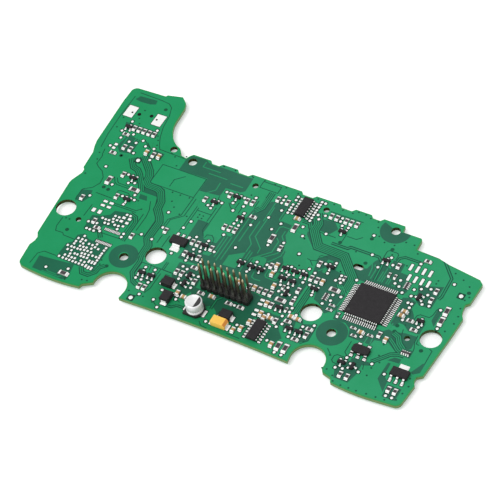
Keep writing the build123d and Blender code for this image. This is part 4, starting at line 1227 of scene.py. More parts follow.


# %% [markdown]
# ## Test dots
#
# A tester's needles touch the board at some two hundred tinned dots, and three dots are larger.
# They are listed one by one, since they lie wherever a track had room for one. The list `dark`
# starts here: it collects the clearance round every land, to be cut as one layer at the end.

# %% Test dots
TEST_DOTS = [
    (-74.6, 33.9), (-63.2, 33.6), (-75.9, 28.3), (-70.7, 28.3), (-74.4, 25), (-65.5, 26.9), (-70.3, 24.4),
    (-67.5, 24.9), (-63.2, 24.8), (-59.5, 24.9), (-76.05, 19.9), (-65.7, 20), (-58.05, 19.4),
    (-71.9, 10.05), (-61.7, 9.9), (-59.6, 6.3), (-57.3, 7.2), (-64.9, 3.2), (-54.2, 2.1), (-58.25, -0.2),
    (-53.1, -0.1), (-69.8, -4.8), (-63.5, -15.8), (-61.7, -15.4), (-60.1, -15.3), (-57.5, -14),
    (-56, -13.9), (-53.5, -13.4), (-52, -13.3), (-51.6, -14.8), (-48.2, -15.8), (-48.2, -17.4),
    (-57.1, -18.2), (-62.4, -18.9), (-61, -18.9), (-59.3, -18.9), (-58.3, -38.1), (-66.4, -40.6),
    (-23.1, 17.05), (-15.6, 17.1), (-11.7, 18.8), (-18.4, 13.3), (-14, 13.35), (-22.2, 11.6),
    (-26.45, 8.7), (-24.8, 7.8), (-12.1, 10.5), (-16.65, 10.1), (-13.2, 4.75), (-11.2, 4.6), (-7.2, 6.6),
    (-2.9, 12.35), (-14, -1.4), (-38.2, -0.15), (-28.2, -0.7), (-29.3, -4.35), (-22.6, -6.3),
    (-17.6, -6.15), (-7.1, -4.95), (-36.4, -7.3), (-42, -13.3), (-37.3, -13.8), (-20.7, -11.8),
    (-18.1, -11.7), (-13.2, -9.8), (-27.3, -16.6), (-1.9, 23.7), (-1.8, 21.9), (-1.85, 20.4),
    (-15.3, -15.8), (-20.7, -17.4), (-20.2, -20.2), (-18.2, -20.7), (-18.8, -25.8), (-32.5, -26),
    (-28.7, -25.7), (-33.4, -31.6), (-31.1, -31.6), (-28.1, -31.7), (-28.3, -37.6), (-22.3, -37.6),
    (-19.4, -40.1), (-21.6, -32.6), (-15, -34.3), (-15.2, -32.7), (-12.7, -22.1), (-12.7, -27.6),
    (-21.4, -29.9), (11.65, 26.6), (13.15, 26.5), (11.7, 25.2), (11.7, 23.9), (11.65, 22.4), (11.65, 21.2),
    (13.15, 20.6), (11.65, 19.9), (11.65, 18.5), (11.7, 17), (2.4, 25.4), (2.4, 23.7), (2.35, 21.4),
    (2.4, 19.9), (2.4, 18.7), (2.45, 17.2), (-0.15, 17.2), (14.35, 18.9), (15.8, 21.3), (22.1, 22.7),
    (22.1, 21.1), (23.6, 19.5), (26.1, 19.5), (10.8, 13.4), (2.7, 11.5), (12.7, 9.5), (0.8, 7.9),
    (3.15, 0.8), (7.95, 3.95), (15.5, 1.7), (20, 13.8), (39.7, 11.8), (36.2, 20), (24.9, -3.8),
    (26.4, 1.4), (29, -2.1), (29.8, 3.2), (22.2, -3), (20.7, -4.7), (15.9, -4.7), (3.4, -7.7),
    (7.35, -7.4), (11.4, -8.4), (16.7, -8.3), (22.9, -9.3), (25.7, -9.3), (34.1, -1.1), (34.2, -2.6),
    (33.1, -3.8), (35.2, -4.1), (39.9, -0.7), (35.3, -10), (38.3, -9.7), (35.7, -12.6), (28.4, -13.1),
    (2.1, -13), (16.1, -13.5), (16.9, -16.2), (19.2, -13.5), (23.6, -16.3), (24.9, -21), (24.9, -22.9),
    (27.7, -23.2), (23.4, -25.5), (25, -28.6), (18.6, -26.8), (23.7, -30.5), (23.6, -37), (28.4, -40.5),
    (31.1, -40.6), (10.7, -35.4), (-0.2, -38.5), (5.6, -28.2), (29.6, -32.6), (32.2, -26.7), (35.7, -24.7),
    (33.6, -14.9), (57.4, 14.9), (46.6, 13.3), (48.5, 10.5), (44.1, 7.5), (54.1, 5.4), (52.9, 3.4),
    (54.8, 2.7), (57, 0.7), (60.3, 3.6), (60.6, 0.6), (62.5, 4.8), (65.6, 6.1), (65.7, 3.3), (65.7, -1.2),
    (68.2, -0.9), (60.9, -2.5), (62.3, -2.5), (62.3, -4.3), (72.1, 11.3), (72.7, -0.9), (75.1, -8.6),
    (62.5, -10), (68.9, -10.7), (52.7, -22.3), (61.4, -31.2), (67.2, -33.3), (58.7, -36.1), (53.1, -37),
    (50.6, -37.6), (52.4, -32.3), (71.6, -41.1), (73.9, -41.1),
]
LARGE_DOTS = [(-62.1, 17.5), (76.5, 7.5), (-30.3, -40.2)]
small_domes = copies(dome(0.55, 0.13), spots_at(TEST_DOTS, LAYER_TOP["land"]), 0)
large_domes = copies(dome(0.8, 0.14, 20), spots_at(LARGE_DOTS, LAYER_TOP["land"]), 0)
make_piece("test_dots", scaled(small_domes), TIN, smooth=60)
make_piece("large_dots", scaled(large_domes), TIN, smooth=60)
dark = [clearances_at(1.1, 1.1, TEST_DOTS, margin=0.28), clearances_at(1.8, 1.8, LARGE_DOTS, margin=0.45)]

# %% [markdown]
# ## Bare lands
#
# Some places were left unfitted: two large corner lands with a small hole in each, eight jumper
# lands, and the fine-pitch footprints on the left wing. Each size is made once and copied.

# %% Bare lands
jumper_x = np.concatenate([54.9 + 2.53 * np.arange(4), 56.2 + 2.53 * np.arange(4)])
jumpers = np.column_stack([jumper_x, np.repeat([12.2, 7.75], 4)])
fine = np.column_stack([np.tile(-55.8 + 0.56 * np.arange(12), 2), np.repeat([-16.4, -22.6], 12)])
GRID_LANDS = [
    (-61, -22.4), (-62.6, -24.2), (-61, -24.1), (-59.5, -24.1), (-54.6, -24), (-50.6, -24.2), (-61, -25.3),
    (-59.6, -25.7), (-57.5, -25), (-56, -25), (-54.6, -25.5), (-53, -25.8), (-50.7, -25.5), (-62.7, -25.8),
    (-62.7, -27), (-60.1, -27.1), (-58.7, -27), (-57.4, -26.9), (-55.5, -26.6), (-50.7, -27),
    (-64.5, -28.6), (-62.9, -28.6), (-61.7, -28.6), (-60.2, -28.6), (-59, -28.5), (-57.6, -28.2),
    (-56.2, -28.1), (-54.7, -28.1), (-50.7, -28.1), (-53.3, -29.3), (-51.8, -29.3), (-50.6, -29.2),
    (-63.5, -30.3), (-61.9, -30.2), (-57.6, -29.8), (-56.3, -29.7), (-54.8, -29.6), (-60, -31),
    (-58.8, -31), (-57.2, -31.1), (-56, -31.1), (-54.6, -31), (-50.6, -30.5), (-61.5, -31.7), (-63, -32.9),
    (-61.4, -32.9), (-60, -33), (-58.7, -32.9), (-56.1, -32.9), (-54.5, -33), (-64.7, -34.3), (-63, -34.4),
    (-61.5, -34.4), (-60.2, -34.4), (-58.7, -34.4), (-57.4, -34.4), (-56, -34.4), (-54.5, -34.4),
]
TALL_LANDS = [
    (-53.1, -32), (-51.8, -32), (-50.6, -32), (-53.1, -34.3), (-51.8, -34.6), (-50.6, -34.6),
]
SMALL_LANDS = [
    (-51.8, -7.4), (-50.3, -7.4), (-55.5, -9.6), (-53.9, -9.6), (-55.5, -11.1), (-53.9, -11.1),
    (-59.5, -12.3), (-58.05, -12.4), (-56.7, -12.3), (-54.9, -12.4), (-50.3, -12.8), (-55.8, -3.5),
]
MIDDLE_LANDS = [
    (-52.1, -9.1), (-49.8, -8.9), (-52.2, -10.9), (-49.8, -10.9), (-74.2, 21.3), (-74.2, 19.4),
]
ROUTER_LANDS = [
    (-62.7, -4.9), (-60.1, -4.9), (-62.7, -6.95), (-60.1, -6.95), (13.7, -22.1), (13.7, -24),
    (13.9, -26.9), (13.9, -28.9),
]
CORNER_LANDS = [(-78.0, 38.35), (-65.4, 38.4)]
WIDE_LANDS = [(-64.7, -10.2), (-62.1, -10.2)]
LAND_SIZES = [((4.0, 5.7, 0.05, 0.1), CORNER_LANDS), ((1.0, 3.0), jumpers), ((0.3, 1.2, 0.04, 0.1), fine),
         ((0.85, 0.95), GRID_LANDS), ((0.8, 1.5), TALL_LANDS), ((0.95, 0.9), SMALL_LANDS),
         ((1.3, 1.1), MIDDLE_LANDS), ((1.7, 1.0), ROUTER_LANDS), ((1.4, 1.8), WIDE_LANDS)]
bare = join_shapes([lands_at(size, places) for size, places in LAND_SIZES])
make_piece("bare_lands", scaled(bare), TIN, smooth=50)
dark += [clearances_at(size[0], size[1], places, margin=0.25) for size, places in LAND_SIZES]

# %% [markdown]
# ## Drilled holes
#
# Two drills beside the corner lands and a pinhole in each land. They are too small to matter as
# solids, so each is a near-black dish of painted shade that stands for the shaded inside of the hole.

# %% Drills
# Near-black painted shade for the inside of the small drilled holes.
DRILL_SHADE = finish("drilled_hole", colour(14, 18, 14), colour(8, 10, 8), 900, (0.6, 0.8), 3000, 0.00001, gloss=0.1)
DRILLS = [(-74.1, 38.2), (-69.2, 39.25)]
PINHOLES = [(-77.1, 38.05), (-66.3, 38.3)]
DRILL_LEVEL = 0.024
PINHOLE_LEVEL = 0.082
drills = join_shapes([copies(dish(0.75, 0.01, 20), spots_at(DRILLS, DRILL_LEVEL), 0),
                      copies(dish(0.42, 0.01, 16), spots_at(PINHOLES, PINHOLE_LEVEL), 0)])
make_piece("drilled_holes", scaled(drills), DRILL_SHADE)

# %% [markdown]
# ## Where each lead leaves its body
#
# The solid model shows every lead and every tinned end as a simple wedge. The fine shapes below
# are laid in exactly their places. For each wedge we find the body it belongs to, and the side of
# that body it stands in front of: that gives a place and a quarter turn.

# %% Lead places
def lead_places(lead_node, body_node):
    """Places (x, y, z) on the body's side at the height of the board, and quarter turns.

    The nearest body is the one with the least distance from the lead's middle to its box. The
    lead leaves through x or y, whichever sticks out further beyond half the body's size."""
    lead_low, lead_high = solid_boxes(lead_node)
    body_low, body_high = solid_boxes(body_node)
    middle = (lead_low + lead_high)[:, :2] / 2
    centre = (body_low + body_high)[:, :2] / 2
    half = (body_high - body_low)[:, :2] / 2
    outside = np.maximum(np.abs(middle[:, None] - centre) - half, 0)
    nearest = np.linalg.norm(outside, axis=2).argmin(axis=1)
    centre, half = centre[nearest], half[nearest]
    offset = middle - centre
    beyond = np.abs(offset) - half
    axis = (beyond[:, 1] > beyond[:, 0]).astype(int)
    rows = np.arange(len(axis))
    sign = np.sign(offset[rows, axis])
    place = middle.copy()
    place[rows, axis] = centre[rows, axis] + sign * half[rows, axis]
    return np.column_stack([place, np.full(len(axis), FACE)]), axis + np.where(sign < 0, 2, 0)


# %% [markdown]
# ## Chip ends
#
# A chip resistor is a slip of ceramic with a tinned cap at each end, and solder climbs from the
# board up that cap in a hollow curve. Cap and solder are one profile, carried across the chip.
# Every chip has two of them, so the profile has only nine points.

# %% Chip ends
def chip_end(cap, height, spread, width):
    """A cap of some length beyond the bare body, then solder that falls as height (1 - u)^2."""
    u = np.linspace(1, 0, 4)
    curve = np.stack([cap + 0.04 + spread * u, 0.07 + 0.75 * height * (1 - u) ** 2], -1)
    foot = [(0, 0), (cap + 0.04 + spread, 0)]
    top = [(cap + 0.03, height * 0.94), (cap - 0.08, height + 0.03), (0, height + 0.03)]
    return bar(np.concatenate([foot, curve, top]), width)


# Name, cap length, height, spread of the solder and width, in millimetres.
CHIPS = [("resistor", 0.40, 0.55, 0.36, 1.32), ("power_resistor", 0.50, 0.55, 0.46, 1.68),
         ("small_resistor", 0.35, 0.5, 0.34, 0.86), ("ceramic_capacitor", 0.45, 0.82, 0.36, 1.32)]
for kind, cap, tall, spread, across in CHIPS:
    places, turns = lead_places(kind + "_ends", kind + "_bodies")
    ends = copies(chip_end(cap, tall, spread, across), places, turns)
    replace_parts(make_piece(kind + "_solder", scaled(ends), TIN), kind + "_ends")
    gap = clearance(cap + spread + 0.1, across, (cap + spread) / 2, margin=0.26)
    dark.append(copies(gap, places, turns))
places, turns = lead_places("array_ends", "array_bodies")
ends = copies(chip_end(0.22, 0.5, 0.3, 0.4), places, turns)
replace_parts(make_piece("array_solder", scaled(ends), TIN), "array_ends")

# %% [markdown]
# ## Resistor glass
#
# The resistor itself is a film printed on the white ceramic slip, under dark glass. The glass is
# a little narrower than the slip, so a white margin shows on both sides, and its ends lap over
# the tin. It is a thin rounded slab on every body, turned the way its chip lies.

# %% Resistor glass
def chip_turns(kind):
    """Middles of the bodies and quarter turns, from the direction of the nearest end."""
    places, turns = lead_places(kind + "_ends", kind + "_bodies")
    low, high = solid_boxes(kind + "_bodies")
    middle = (low + high) / 2
    gap = np.linalg.norm(middle[:, None, :2] - places[:, :2], axis=2)
    return np.column_stack([middle[:, :2], high[:, 2]]), turns[gap.argmin(axis=1)] % 2


GLASS_SIZES = [("resistor", 1.4, 1.1), ("power_resistor", 2.4, 1.4), ("small_resistor", 1.06, 0.7)]
glass = []
for kind, long_side, short_side in GLASS_SIZES:
    places, turns = chip_turns(kind)
    full = rounded_rectangle(long_side, short_side, 0.1)
    crown = rounded_rectangle(long_side - 0.1, short_side - 0.1, 0.08)
    glass.append(copies(shell(lift_rings([full, full, crown], [-0.02, 0.035, 0.055])), places, turns))
make_piece("resistor_glass", scaled(join_shapes(glass)), GLASS_BLACK)

# %% [markdown]
# ## Gull-wing leads
#
# The leads of the larger packages leave the body half way up, run level, swing down and end in a
# flat foot, like the wing of a gull. The middle line of the lead follows the smooth step
# 3u^2 - 2u^3, which starts and ends level. Half the thickness is then laid off on both sides.

# %% Gull-wing leads
ROOT = 0.15
FOOT_LIFT = 0.04


def gull_wing(leave, level, reach, foot, thick, width, steps=6):
    """The lead as a profile along its middle line, carried straight across its width.

    It starts a little inside the body, and its foot rests on a film of solder."""
    x = np.concatenate([[-ROOT], np.linspace(level, reach - foot, steps), [reach]])
    u = np.clip((x - level) / (reach - foot - level), 0, 1)
    z = leave + (thick / 2 + FOOT_LIFT - leave) * u * u * (3 - 2 * u)
    slope = np.gradient(z, x)
    slope[[0, -1]] = 0
    normal = np.stack([-slope, np.ones_like(slope)], -1) / np.sqrt(1 + slope**2)[:, None]
    line = np.stack([x, z], -1)
    lower, upper = line - normal * thick / 2, line + normal * thick / 2
    return bar(np.concatenate([lower, upper[::-1]]), width)


def foot_solder(reach, foot, land_reach, land_width, swell=0.11):
    """The tinned land under a foot, with solder that swells round it."""
    pad = land(foot + land_reach, land_width, swell, 0.1)
    return moved(pad, reach - foot / 2 + land_reach / 2 - 0.05, 0, LAYER_TOP["land"])


# %% [markdown]
# ## Painted shade on the leads
#
# The leads are punched from a tinned strip and bent. Their level faces stay bright tin, and their
# steep faces get a painted shade that makes them nearly black. The upward part of the normal tells
# them apart, which needs no second material and no edge mask.

# %% Lead tin with painted shade
def lead_finish():
    """Tin, bright on level faces, with a painted shade that darkens the steep faces nearly to black."""
    material = finish("lead_tin_painted_shade", colour(252, 252, 250), colour(238, 239, 236), 900, (0.22, 0.4), 2600,
                      0.00002, metal=0.12)
    nodes, links = material.node_tree.nodes, material.node_tree.links
    upward = split_axes(nodes, links, "ShaderNodeNewGeometry", "Normal")["Z"]
    steep = stretched(nodes, links, upward, 0.85, 0.5)
    steep_shade = blended(nodes, links, steep, nodes["tones"].outputs["Colour"], colour(34, 33, 32))
    links.new(steep_shade, nodes["Principled BSDF"].inputs["Base Color"])
    return material


SHADED_LEAD_TIN = lead_finish()
print("made", SHADED_LEAD_TIN.name)

# %% [markdown]
# ## Leads, tabs and their solder
#
# One table holds the sizes of every package's leads, and one loop makes them all: the leads in
# place of the solid model's wedges, the solder under each foot, and the clearance round it. The
# two regulators also have a wide tab that carries heat away. It is one more lead, only wider.

# %% Leads, tabs and their solder
# Name, height where the lead leaves, level run, reach, foot, thickness and width of the lead, then
# how far its land reaches beyond the foot, and the land's width, all in millimetres.
WINGS = [("processor", 0.78, 0.34, 1.62, 0.72, 0.15, 0.32, 0.8, 0.34),
         ("rear_logic", 0.88, 0.15, 1.1, 0.5, 0.2, 0.44, 0.55, 0.66),
         ("front_logic", 0.88, 0.15, 1.1, 0.5, 0.2, 0.44, 0.55, 0.66),
         ("driver", 0.83, 0.15, 1.0, 0.5, 0.22, 1.0, 0.5, 1.25),
         ("left_regulator", 0.85, 0.2, 1.75, 0.85, 0.25, 0.72, 0.5, 1.0),
         ("right_regulator", 0.85, 0.2, 1.75, 0.85, 0.25, 0.72, 0.5, 1.0)]
solder = []
for kind, leave, level, reach, foot, thick, across, land_reach, land_width in WINGS:
    places, turns = lead_places(kind + "_leads", kind + "_body")
    leads = copies(gull_wing(leave, level, reach, foot, thick, across), places, turns)
    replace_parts(make_piece(kind + "_wings", scaled(leads), SHADED_LEAD_TIN, smooth=40), kind + "_leads")
    solder.append(copies(foot_solder(reach, foot, land_reach, land_width, thick / 3), places, turns))
    margin = 0.08 if kind == "processor" else 0.3
    gap = clearance(foot + land_reach, land_width, reach - foot / 2 + land_reach / 2, margin)
    dark.append(copies(gap, places, turns))
for side in ("left_regulator", "right_regulator"):
    places, turns = lead_places(side + "_tab", side + "_body")
    tab = copies(gull_wing(0.85, 0.2, 1.75, 0.95, 0.25, 3.0), places, turns)
    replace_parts(make_piece(side + "_heat_tab", scaled(tab), TIN, smooth=40), side + "_tab")
    solder.append(copies(foot_solder(1.75, 0.95, 0.9, 3.5), places, turns))
places, turns = lead_places("transistor_leads", "transistor_bodies")
leads = copies(gull_wing(0.5, 0.1, 0.62, 0.25, 0.12, 0.44, steps=4), places, turns)
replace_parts(make_piece("transistor_wings", scaled(leads), TIN), "transistor_leads")
solder.append(copies(foot_solder(0.7, 0.35, 0.35, 0.8), places, turns))
dark.append(copies(clearance(0.9, 0.8, 0.75, margin=0.28), places, turns))
make_piece("foot_solder", scaled(join_shapes(solder)), TIN, smooth=50)

# %% [markdown]
# ## Solder beside strip terminals
#
# The block diodes, the yellow capacitor and the can stand on flat strips that are folded under
# them. The solid model already has the strips, so all that is missing is the land in front of
# each, as wide as its strip and with a swell of solder.

# %% Solder beside strip terminals
LAND_LENGTH = 1.3
WIDEST_STRIP = 2.6
STRIP_TERMINALS = [("diode_terminals", "diode_bodies"), ("tantalum_terminals", "tantalum_body"),
                   ("electrolytic_terminals", "electrolytic_base")]
strip_solder = []
for node, body in STRIP_TERMINALS:
    places, turns = lead_places(node, body)
    low, high = solid_boxes(node)
    across = min(float((high - low)[0, :2].max()), WIDEST_STRIP)
    tin = moved(land(LAND_LENGTH, across + 0.4, 0.12, 0.15), 0.35, 0, LAYER_TOP["land"])
    strip_solder.append(copies(tin, places, turns))
    dark.append(copies(clearance(LAND_LENGTH, across + 0.4, 0.35), places, turns))
    print(node, len(places), "places,", round(across, 2), "mm across")
make_piece("terminal_solder", scaled(join_shapes(strip_solder)), TIN, smooth=50)

# %% [markdown]
# ## Shade between the fine leads
#
# No lacquer fits between leads that stand 0.8 mm apart, and little light gets in there. One dark
# strip under each row gives both at once, and costs four sheets where sixty would be true.

# %% Shade between the fine leads
ROW_WIDTH = 2.4
ROW_LENGTH = 13.1
ROW_DISTANCE = 8.25
centre = np.array(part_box("processor_body")).mean(axis=0)[:2] / MM
row = rounded_rectangle(ROW_WIDTH, ROW_LENGTH, 0.3)
row = shell(lift_rings([row, row], [0, LAYER_TOP["between leads"]]))
sides = centre + ROW_DISTANCE * np.array([(1, 0), (0, 1), (-1, 0), (0, -1)])
SHADE = lacquer_finish("green_between_leads", colour(10, 30, 24), colour(6, 24, 18))
make_piece("between_leads", scaled(copies(row, spots_at(sides, 0), [0, 1, 2, 3])), SHADE)

# %% [markdown]
# ## Moulded cases
#
# A black package is moulded in two halves that meet where the leads come out. Each half tapers,
# so that it leaves its mould, and the upper edge is slightly round. The case is a stack of rounded
# rectangles: narrow, wide at the parting line, narrow again, and a last one for the round edge.

# %% Moulded cases
def moulded_case(length, width, height, corner, draft, edge, per_corner=3):
    """Rings at 0, half, nearly full and full height; each one is smaller by the draft."""
    insets = [draft, 0.0, draft * 0.85, draft + edge]
    heights = [0.0, height * 0.5, height - edge, height]
    outlines = []
    for inset in insets:
        radius = max(corner - inset * 0.5, 0.02)
        outlines.append(rounded_rectangle(length - 2 * inset, width - 2 * inset, radius, per_corner))
    return shell(lift_rings(outlines, heights))


def cases(name, node, corner, draft, edge=0.06, per_corner=3):
    """The moulded case laid into each solid of a node. Returns their places and the first's size."""
    low, high = solid_boxes(node)
    size = high[0] - low[0]
    long_side, short_side = max(size[:2]), min(size[:2])
    shape = moulded_case(long_side, short_side, size[2], corner, draft, edge, per_corner)
    across = (high - low)[:, 0] < (high - low)[:, 1]
    places = np.column_stack([(low + high)[:, :2] / 2, low[:, 2]])
    piece = make_piece(name, scaled(copies(shape, places, across.astype(int))), EPOXY)
    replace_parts(piece, node)
    return places, size


processor_place, processor_size = cases("processor_case", "processor_body", 0.5, 0.2)
rear_place, logic_size = cases("rear_logic_case", "rear_logic_body", 0.1, 0.14)
front_place, _ = cases("front_logic_case", "front_logic_body", 0.1, 0.14)
cases("driver_case", "driver_body", 0.8, 0.14, per_corner=2)
cases("left_regulator_case", "left_regulator_body", 0.12, 0.14)
cases("right_regulator_case", "right_regulator_body", 0.12, 0.14)
cases("transistor_cases", "transistor_bodies", 0.08, 0.07, edge=0.04)
cases("diode_cases", "diode_bodies", 0.15, 0.12)

# %% [markdown]
# ## First-pin marks
#
# A round dimple in one corner tells the fitter which lead is the first. It is glossier than the
# grained case because the mould's pin was polished. A very shallow dish lies just over the face.

# %% First-pin marks
DIMPLE = finish("polished_dimple", colour(34, 33, 35), colour(28, 27, 29), 900, (0.2, 0.3), 6000, 0.000004)
MARK_LIFT = 0.012
processor_mark = processor_place + (-5.6, -5.6, processor_size[2] + MARK_LIFT)
logic_marks = np.concatenate([rear_place, front_place]) + (-1.2, -3.6, logic_size[2] + MARK_LIFT)
marks = [copies(dish(0.55, 0.02, 20), processor_mark, 0), copies(dish(0.35, 0.02, 16), logic_marks, 0)]
make_piece("first_pin_marks", scaled(join_shapes(marks)), DIMPLE)

# %% [markdown]
# ## Pin header
#
# The pins are square wire with thin gold, cut to a blunt point at both ends. Their colour changes
# with the height: a painted shade makes them dark near the strip, and a painted highlight makes them
# bright at the tips, where the light gets at them. That is simpler than a reflection of the room,
# which long thin pins catch only by luck.

# %% Pin metal
def pin_finish():
    """Gold-flashed wire with painted shade near the strip and a painted highlight at the tip, by height."""
    material = finish("pin_metal_painted_light", colour(150, 146, 118), colour(104, 100, 78), 420, (0.22, 0.4), 3000,
                      0.00001, metal=0.4)
    nodes, links = material.node_tree.nodes, material.node_tree.links
    level = stretched(nodes, links, split_axes(nodes, links)["Z"], 0.004, 0.0152)
    shade_to_highlight = ramped(nodes, links, level, [(0.0, colour(26, 25, 21)), (0.5, colour(62, 58, 42)),
                                        (0.86, colour(122, 110, 72)), (1.0, colour(240, 228, 190))])
    tone = blended(nodes, links, 0.94, nodes["tones"].outputs["Colour"], shade_to_highlight)
    links.new(tone, nodes["Principled BSDF"].inputs["Base Color"])
    return material


PIN_METAL_PAINTED_LIGHT = pin_finish()

# %% Pins
def square_pin(width, low_end, high_end):
    """Square rings: small at each tip, full size a little further in."""
    sizes = [0.45, 1.0, 1.0, 0.78, 0.4]
    heights = [low_end, low_end + 0.4, high_end - 4.0, high_end - 0.7, high_end]
    square = np.array([(-1, -1), (1, -1), (1, 1), (-1, 1)]) * width / 2
    return shell(lift_rings([square * size for size in sizes], heights))


PIN_WIDTH = 0.64
pin_low, pin_high = solid_boxes("header_pins")
pin_places = np.column_stack([(pin_low + pin_high)[:, :2] / 2, np.zeros(len(pin_low))])
pin_shape = square_pin(PIN_WIDTH, pin_low[0][2], pin_high[0][2])
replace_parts(make_piece("square_pins", scaled(copies(pin_shape, pin_places, 0)), PIN_METAL_PAINTED_LIGHT), "header_pins")

# %% [markdown]
# ## Dark collars at the feet of the pins
#
# From the side the feet of the pins look thick and dark, from shade and the pins' reflections in
# the glossy strip. A dark collar that narrows upwards round each pin gives that painted shade and
# reflection a shape. A short stack of octagons is enough.

# %% Collars
strip_low, strip_high = (np.array(corner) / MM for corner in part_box("header_base"))
COLLAR_RADII = [0.62, 0.6, 0.52, 0.4]
COLLAR_RISES = [-0.05, 0.35, 2.15, 3.55]
octagons = [rounded_rectangle(2 * radius, 2 * radius, 0.3 * radius, 2) for radius in COLLAR_RADII]
collar = shell(lift_rings(octagons, strip_high[2] + np.array(COLLAR_RISES)))
# Dark plastic for the collars, painted shade and reflection given a shape at the pins' feet.
COLLAR_SHADE = finish("collar_shade_plastic", colour(70, 68, 62), colour(40, 39, 36), 500, (0.2, 0.35), 5000, 0.00001,
                gloss=0.7)
make_piece("pin_collars", scaled(copies(collar, pin_places, 0)), COLLAR_SHADE)

# %% [markdown]
# ## The header's strip
#
# The plastic strip is moulded as eight cells that can be snapped apart, so a notch is cut between
# the cells on both sides. One outline goes all the way round: the front side is worked out cell by
# cell, and the back is the front turned over. A second, smaller outline at the top rounds the edge.

# %% Header strip
CELLS = 8
NOTCH = 0.42
TOP_ROUND = 0.16
pitch = (strip_high[0] - strip_low[0]) / CELLS
near = [[strip_low[0] + i * pitch + NOTCH, strip_low[1]] for i in range(CELLS)]
far = [[strip_low[0] + (i + 1) * pitch - NOTCH, strip_low[1]] for i in range(CELLS)]
dents = [[strip_low[0] + (i + 1) * pitch, strip_low[1] + NOTCH] for i in range(CELLS - 1)]
front = np.concatenate([np.stack([near[:-1], far[:-1], dents], 1).reshape(-1, 2), [near[-1], far[-1]]])
right_end = np.array([[strip_high[0], strip_low[1] + NOTCH], [strip_high[0], strip_high[1] - NOTCH]])
back = front[::-1] * (1, -1) + (0, strip_low[1] + strip_high[1])
left_end = right_end[::-1] * (-1, 1) + (strip_low[0] + strip_high[0], 0)
outline = np.concatenate([front, right_end, back, left_end])
middle = (strip_low[:2] + strip_high[:2]) / 2
tucked = middle + (outline - middle) * (1 - TOP_ROUND / (strip_high[:2] - strip_low[:2]))
strip = shell(lift_rings([outline, outline, tucked], [strip_low[2], strip_high[2] - 0.1, strip_high[2]]))
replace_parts(make_piece("header_strip", scaled(strip), HEADER_PLASTIC), "header_base")

# %% [markdown]
# ## Round shapes
#
# The can and the solder under the header are turned shapes: a profile of radius and height is
# swung round the vertical. The can is drawn aluminium. It has a groove near its foot, where it is
# squeezed on to its rubber seal, a round shoulder, and a slightly sunken lid.

# %% Turned shapes
def turned(profile, around):
    """Rings x = r cos a, y = r sin a at each height of a profile (k, 2), closed at both ends."""
    radii, heights = zip(*profile)
    return shell(lift_rings([circle(radius, around) for radius in radii], heights))


can_low, can_high = (np.array(corner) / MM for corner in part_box("electrolytic_can"))
can_radius = (can_high[0] - can_low[0]) / 2
can_x, can_y = (can_low + can_high)[:2] / 2
can_foot, can_top = can_low[2], can_high[2]
# How far each point lies inside the radius, and how far above the foot, then from the top.
FOOT_STEPS = [(0.2, 0), (0, 0.15), (0, 0.8), (0.12, 0.95), (0.22, 1.1), (0.12, 1.25), (0, 1.4)]
LID_STEPS = [(0, -0.42), (0.06, -0.22), (0.2, -0.07), (0.4, 0), (0.52, 0), (0.58, -0.05)]
can_profile = [(can_radius - inset, can_foot + rise) for inset, rise in FOOT_STEPS]
can_profile += [(can_radius - inset, can_top + rise) for inset, rise in LID_STEPS]
can = moved(turned(can_profile, 48), can_x, can_y)
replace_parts(make_piece("aluminium_can", scaled(can), ALUMINIUM, smooth=50), "electrolytic_can")

# %% [markdown]
# ## Dark segment on the lid
#
# Black ink over one side of the lid marks the negative lead. It is a thin sheet between an arc of
# the lid's own circle and a straight edge, and it lies in the sunken lid without standing proud.

# %% Dark segment on the lid
STRAIGHT_EDGE = 1.05
SUNK = 0.05
lid_radius = can_radius - 0.44
half_angle = math.acos(STRAIGHT_EDGE / lid_radius)
sweep = np.linspace(-half_angle, half_angle, 16)
segment = np.stack([can_x + lid_radius * np.cos(sweep), can_y + lid_radius * np.sin(sweep)], -1)
INK = finish("black_ink", colour(44, 43, 45), colour(36, 35, 37), 600, (0.45, 0.6), 4000, 0.000004)
make_piece("polarity_segment", sheets([segment], can_top - SUNK - FACE, 0.055), INK)

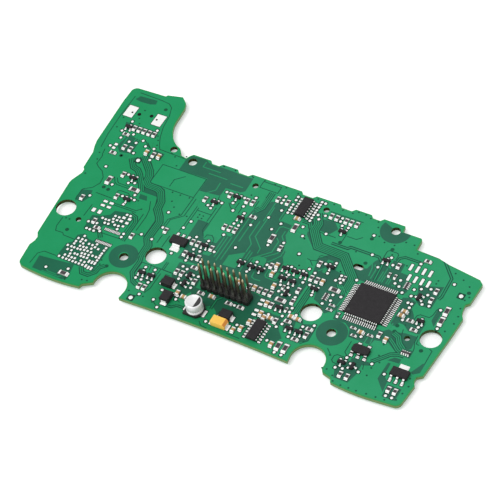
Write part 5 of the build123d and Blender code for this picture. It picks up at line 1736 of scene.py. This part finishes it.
# %% [markdown]
# ## Solder under the header
#
# The pins go right through the board, and on the underside a cone of solder climbs each of them.
# A turned profile gives the hollow flank of the cone, which a plain cone would lack.

# %% Solder under the header
cone = turned([(0.3, -0.62), (0.36, -0.6), (0.5, -0.3), (0.72, -0.1), (0.95, -0.03), (0.95, 0.0)], 16)
make_piece("header_solder", scaled(copies(cone, pin_places, 0)), TIN, smooth=60)

# %% [markdown]
# ## Tantalum capacitor
#
# A yellow moulded block on two strip terminals. The marked end is bevelled and a deeper orange,
# which the piece gets as a thin cap that follows the bevel.

# %% Tantalum capacitor
low, high = solid_boxes("tantalum_body")
length, width, tall = high[0] - low[0]
half = length / 2


def in_block(profile, across):
    """A profile carried across the block, placed where the solid model's block stands."""
    middle = (low + high)[0] / 2
    return moved(bar(profile, across), middle[0], middle[1], low[0][2])


BEVEL_RUN = 0.75
BEVEL_START = 0.62
block = [(0.08 - half, 0), (half - 0.1, 0), (half, tall * 0.45), (half, tall * BEVEL_START),
         (half - BEVEL_RUN, tall), (0.1 - half, tall), (-half, tall * 0.5)]
yellow = make_piece("tantalum_block", scaled(in_block(block, width)), TANTALUM_YELLOW)
bevel = yellow.modifiers.new("edges", "BEVEL")
bevel.width = 0.08 * MM
bevel.segments = 2
bevel.limit_method = "ANGLE"
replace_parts(yellow, "tantalum_body")
ORANGE = finish("orange_end", colour(226, 148, 58), colour(214, 134, 46), 400, (0.42, 0.55), 5000, 0.00001)
cap = [(half - 0.86, tall + 0.004), (half - 0.73, tall - 0.02), (half - 0.06, tall * BEVEL_START + 0.04),
       (half - 0.02, tall * BEVEL_START + 0.09), (half - 0.73, tall + 0.03), (half - 0.86, tall + 0.02)]
make_piece("marked_end", scaled(in_block(cap, width - 0.2)), ORANGE)

# %% [markdown]
# ## Clearances
#
# Every land, foot and dot has handed in its clearance, so they can now be cut to the board as one
# layer. After that the cutter has done its work.

# %% Clearances
cut_to_board(make_piece("land_clearances", scaled(join_shapes(dark)), CLEARANCE))
bpy.data.objects.remove(cutter)
bpy.data.meshes.remove(cutter_mesh)
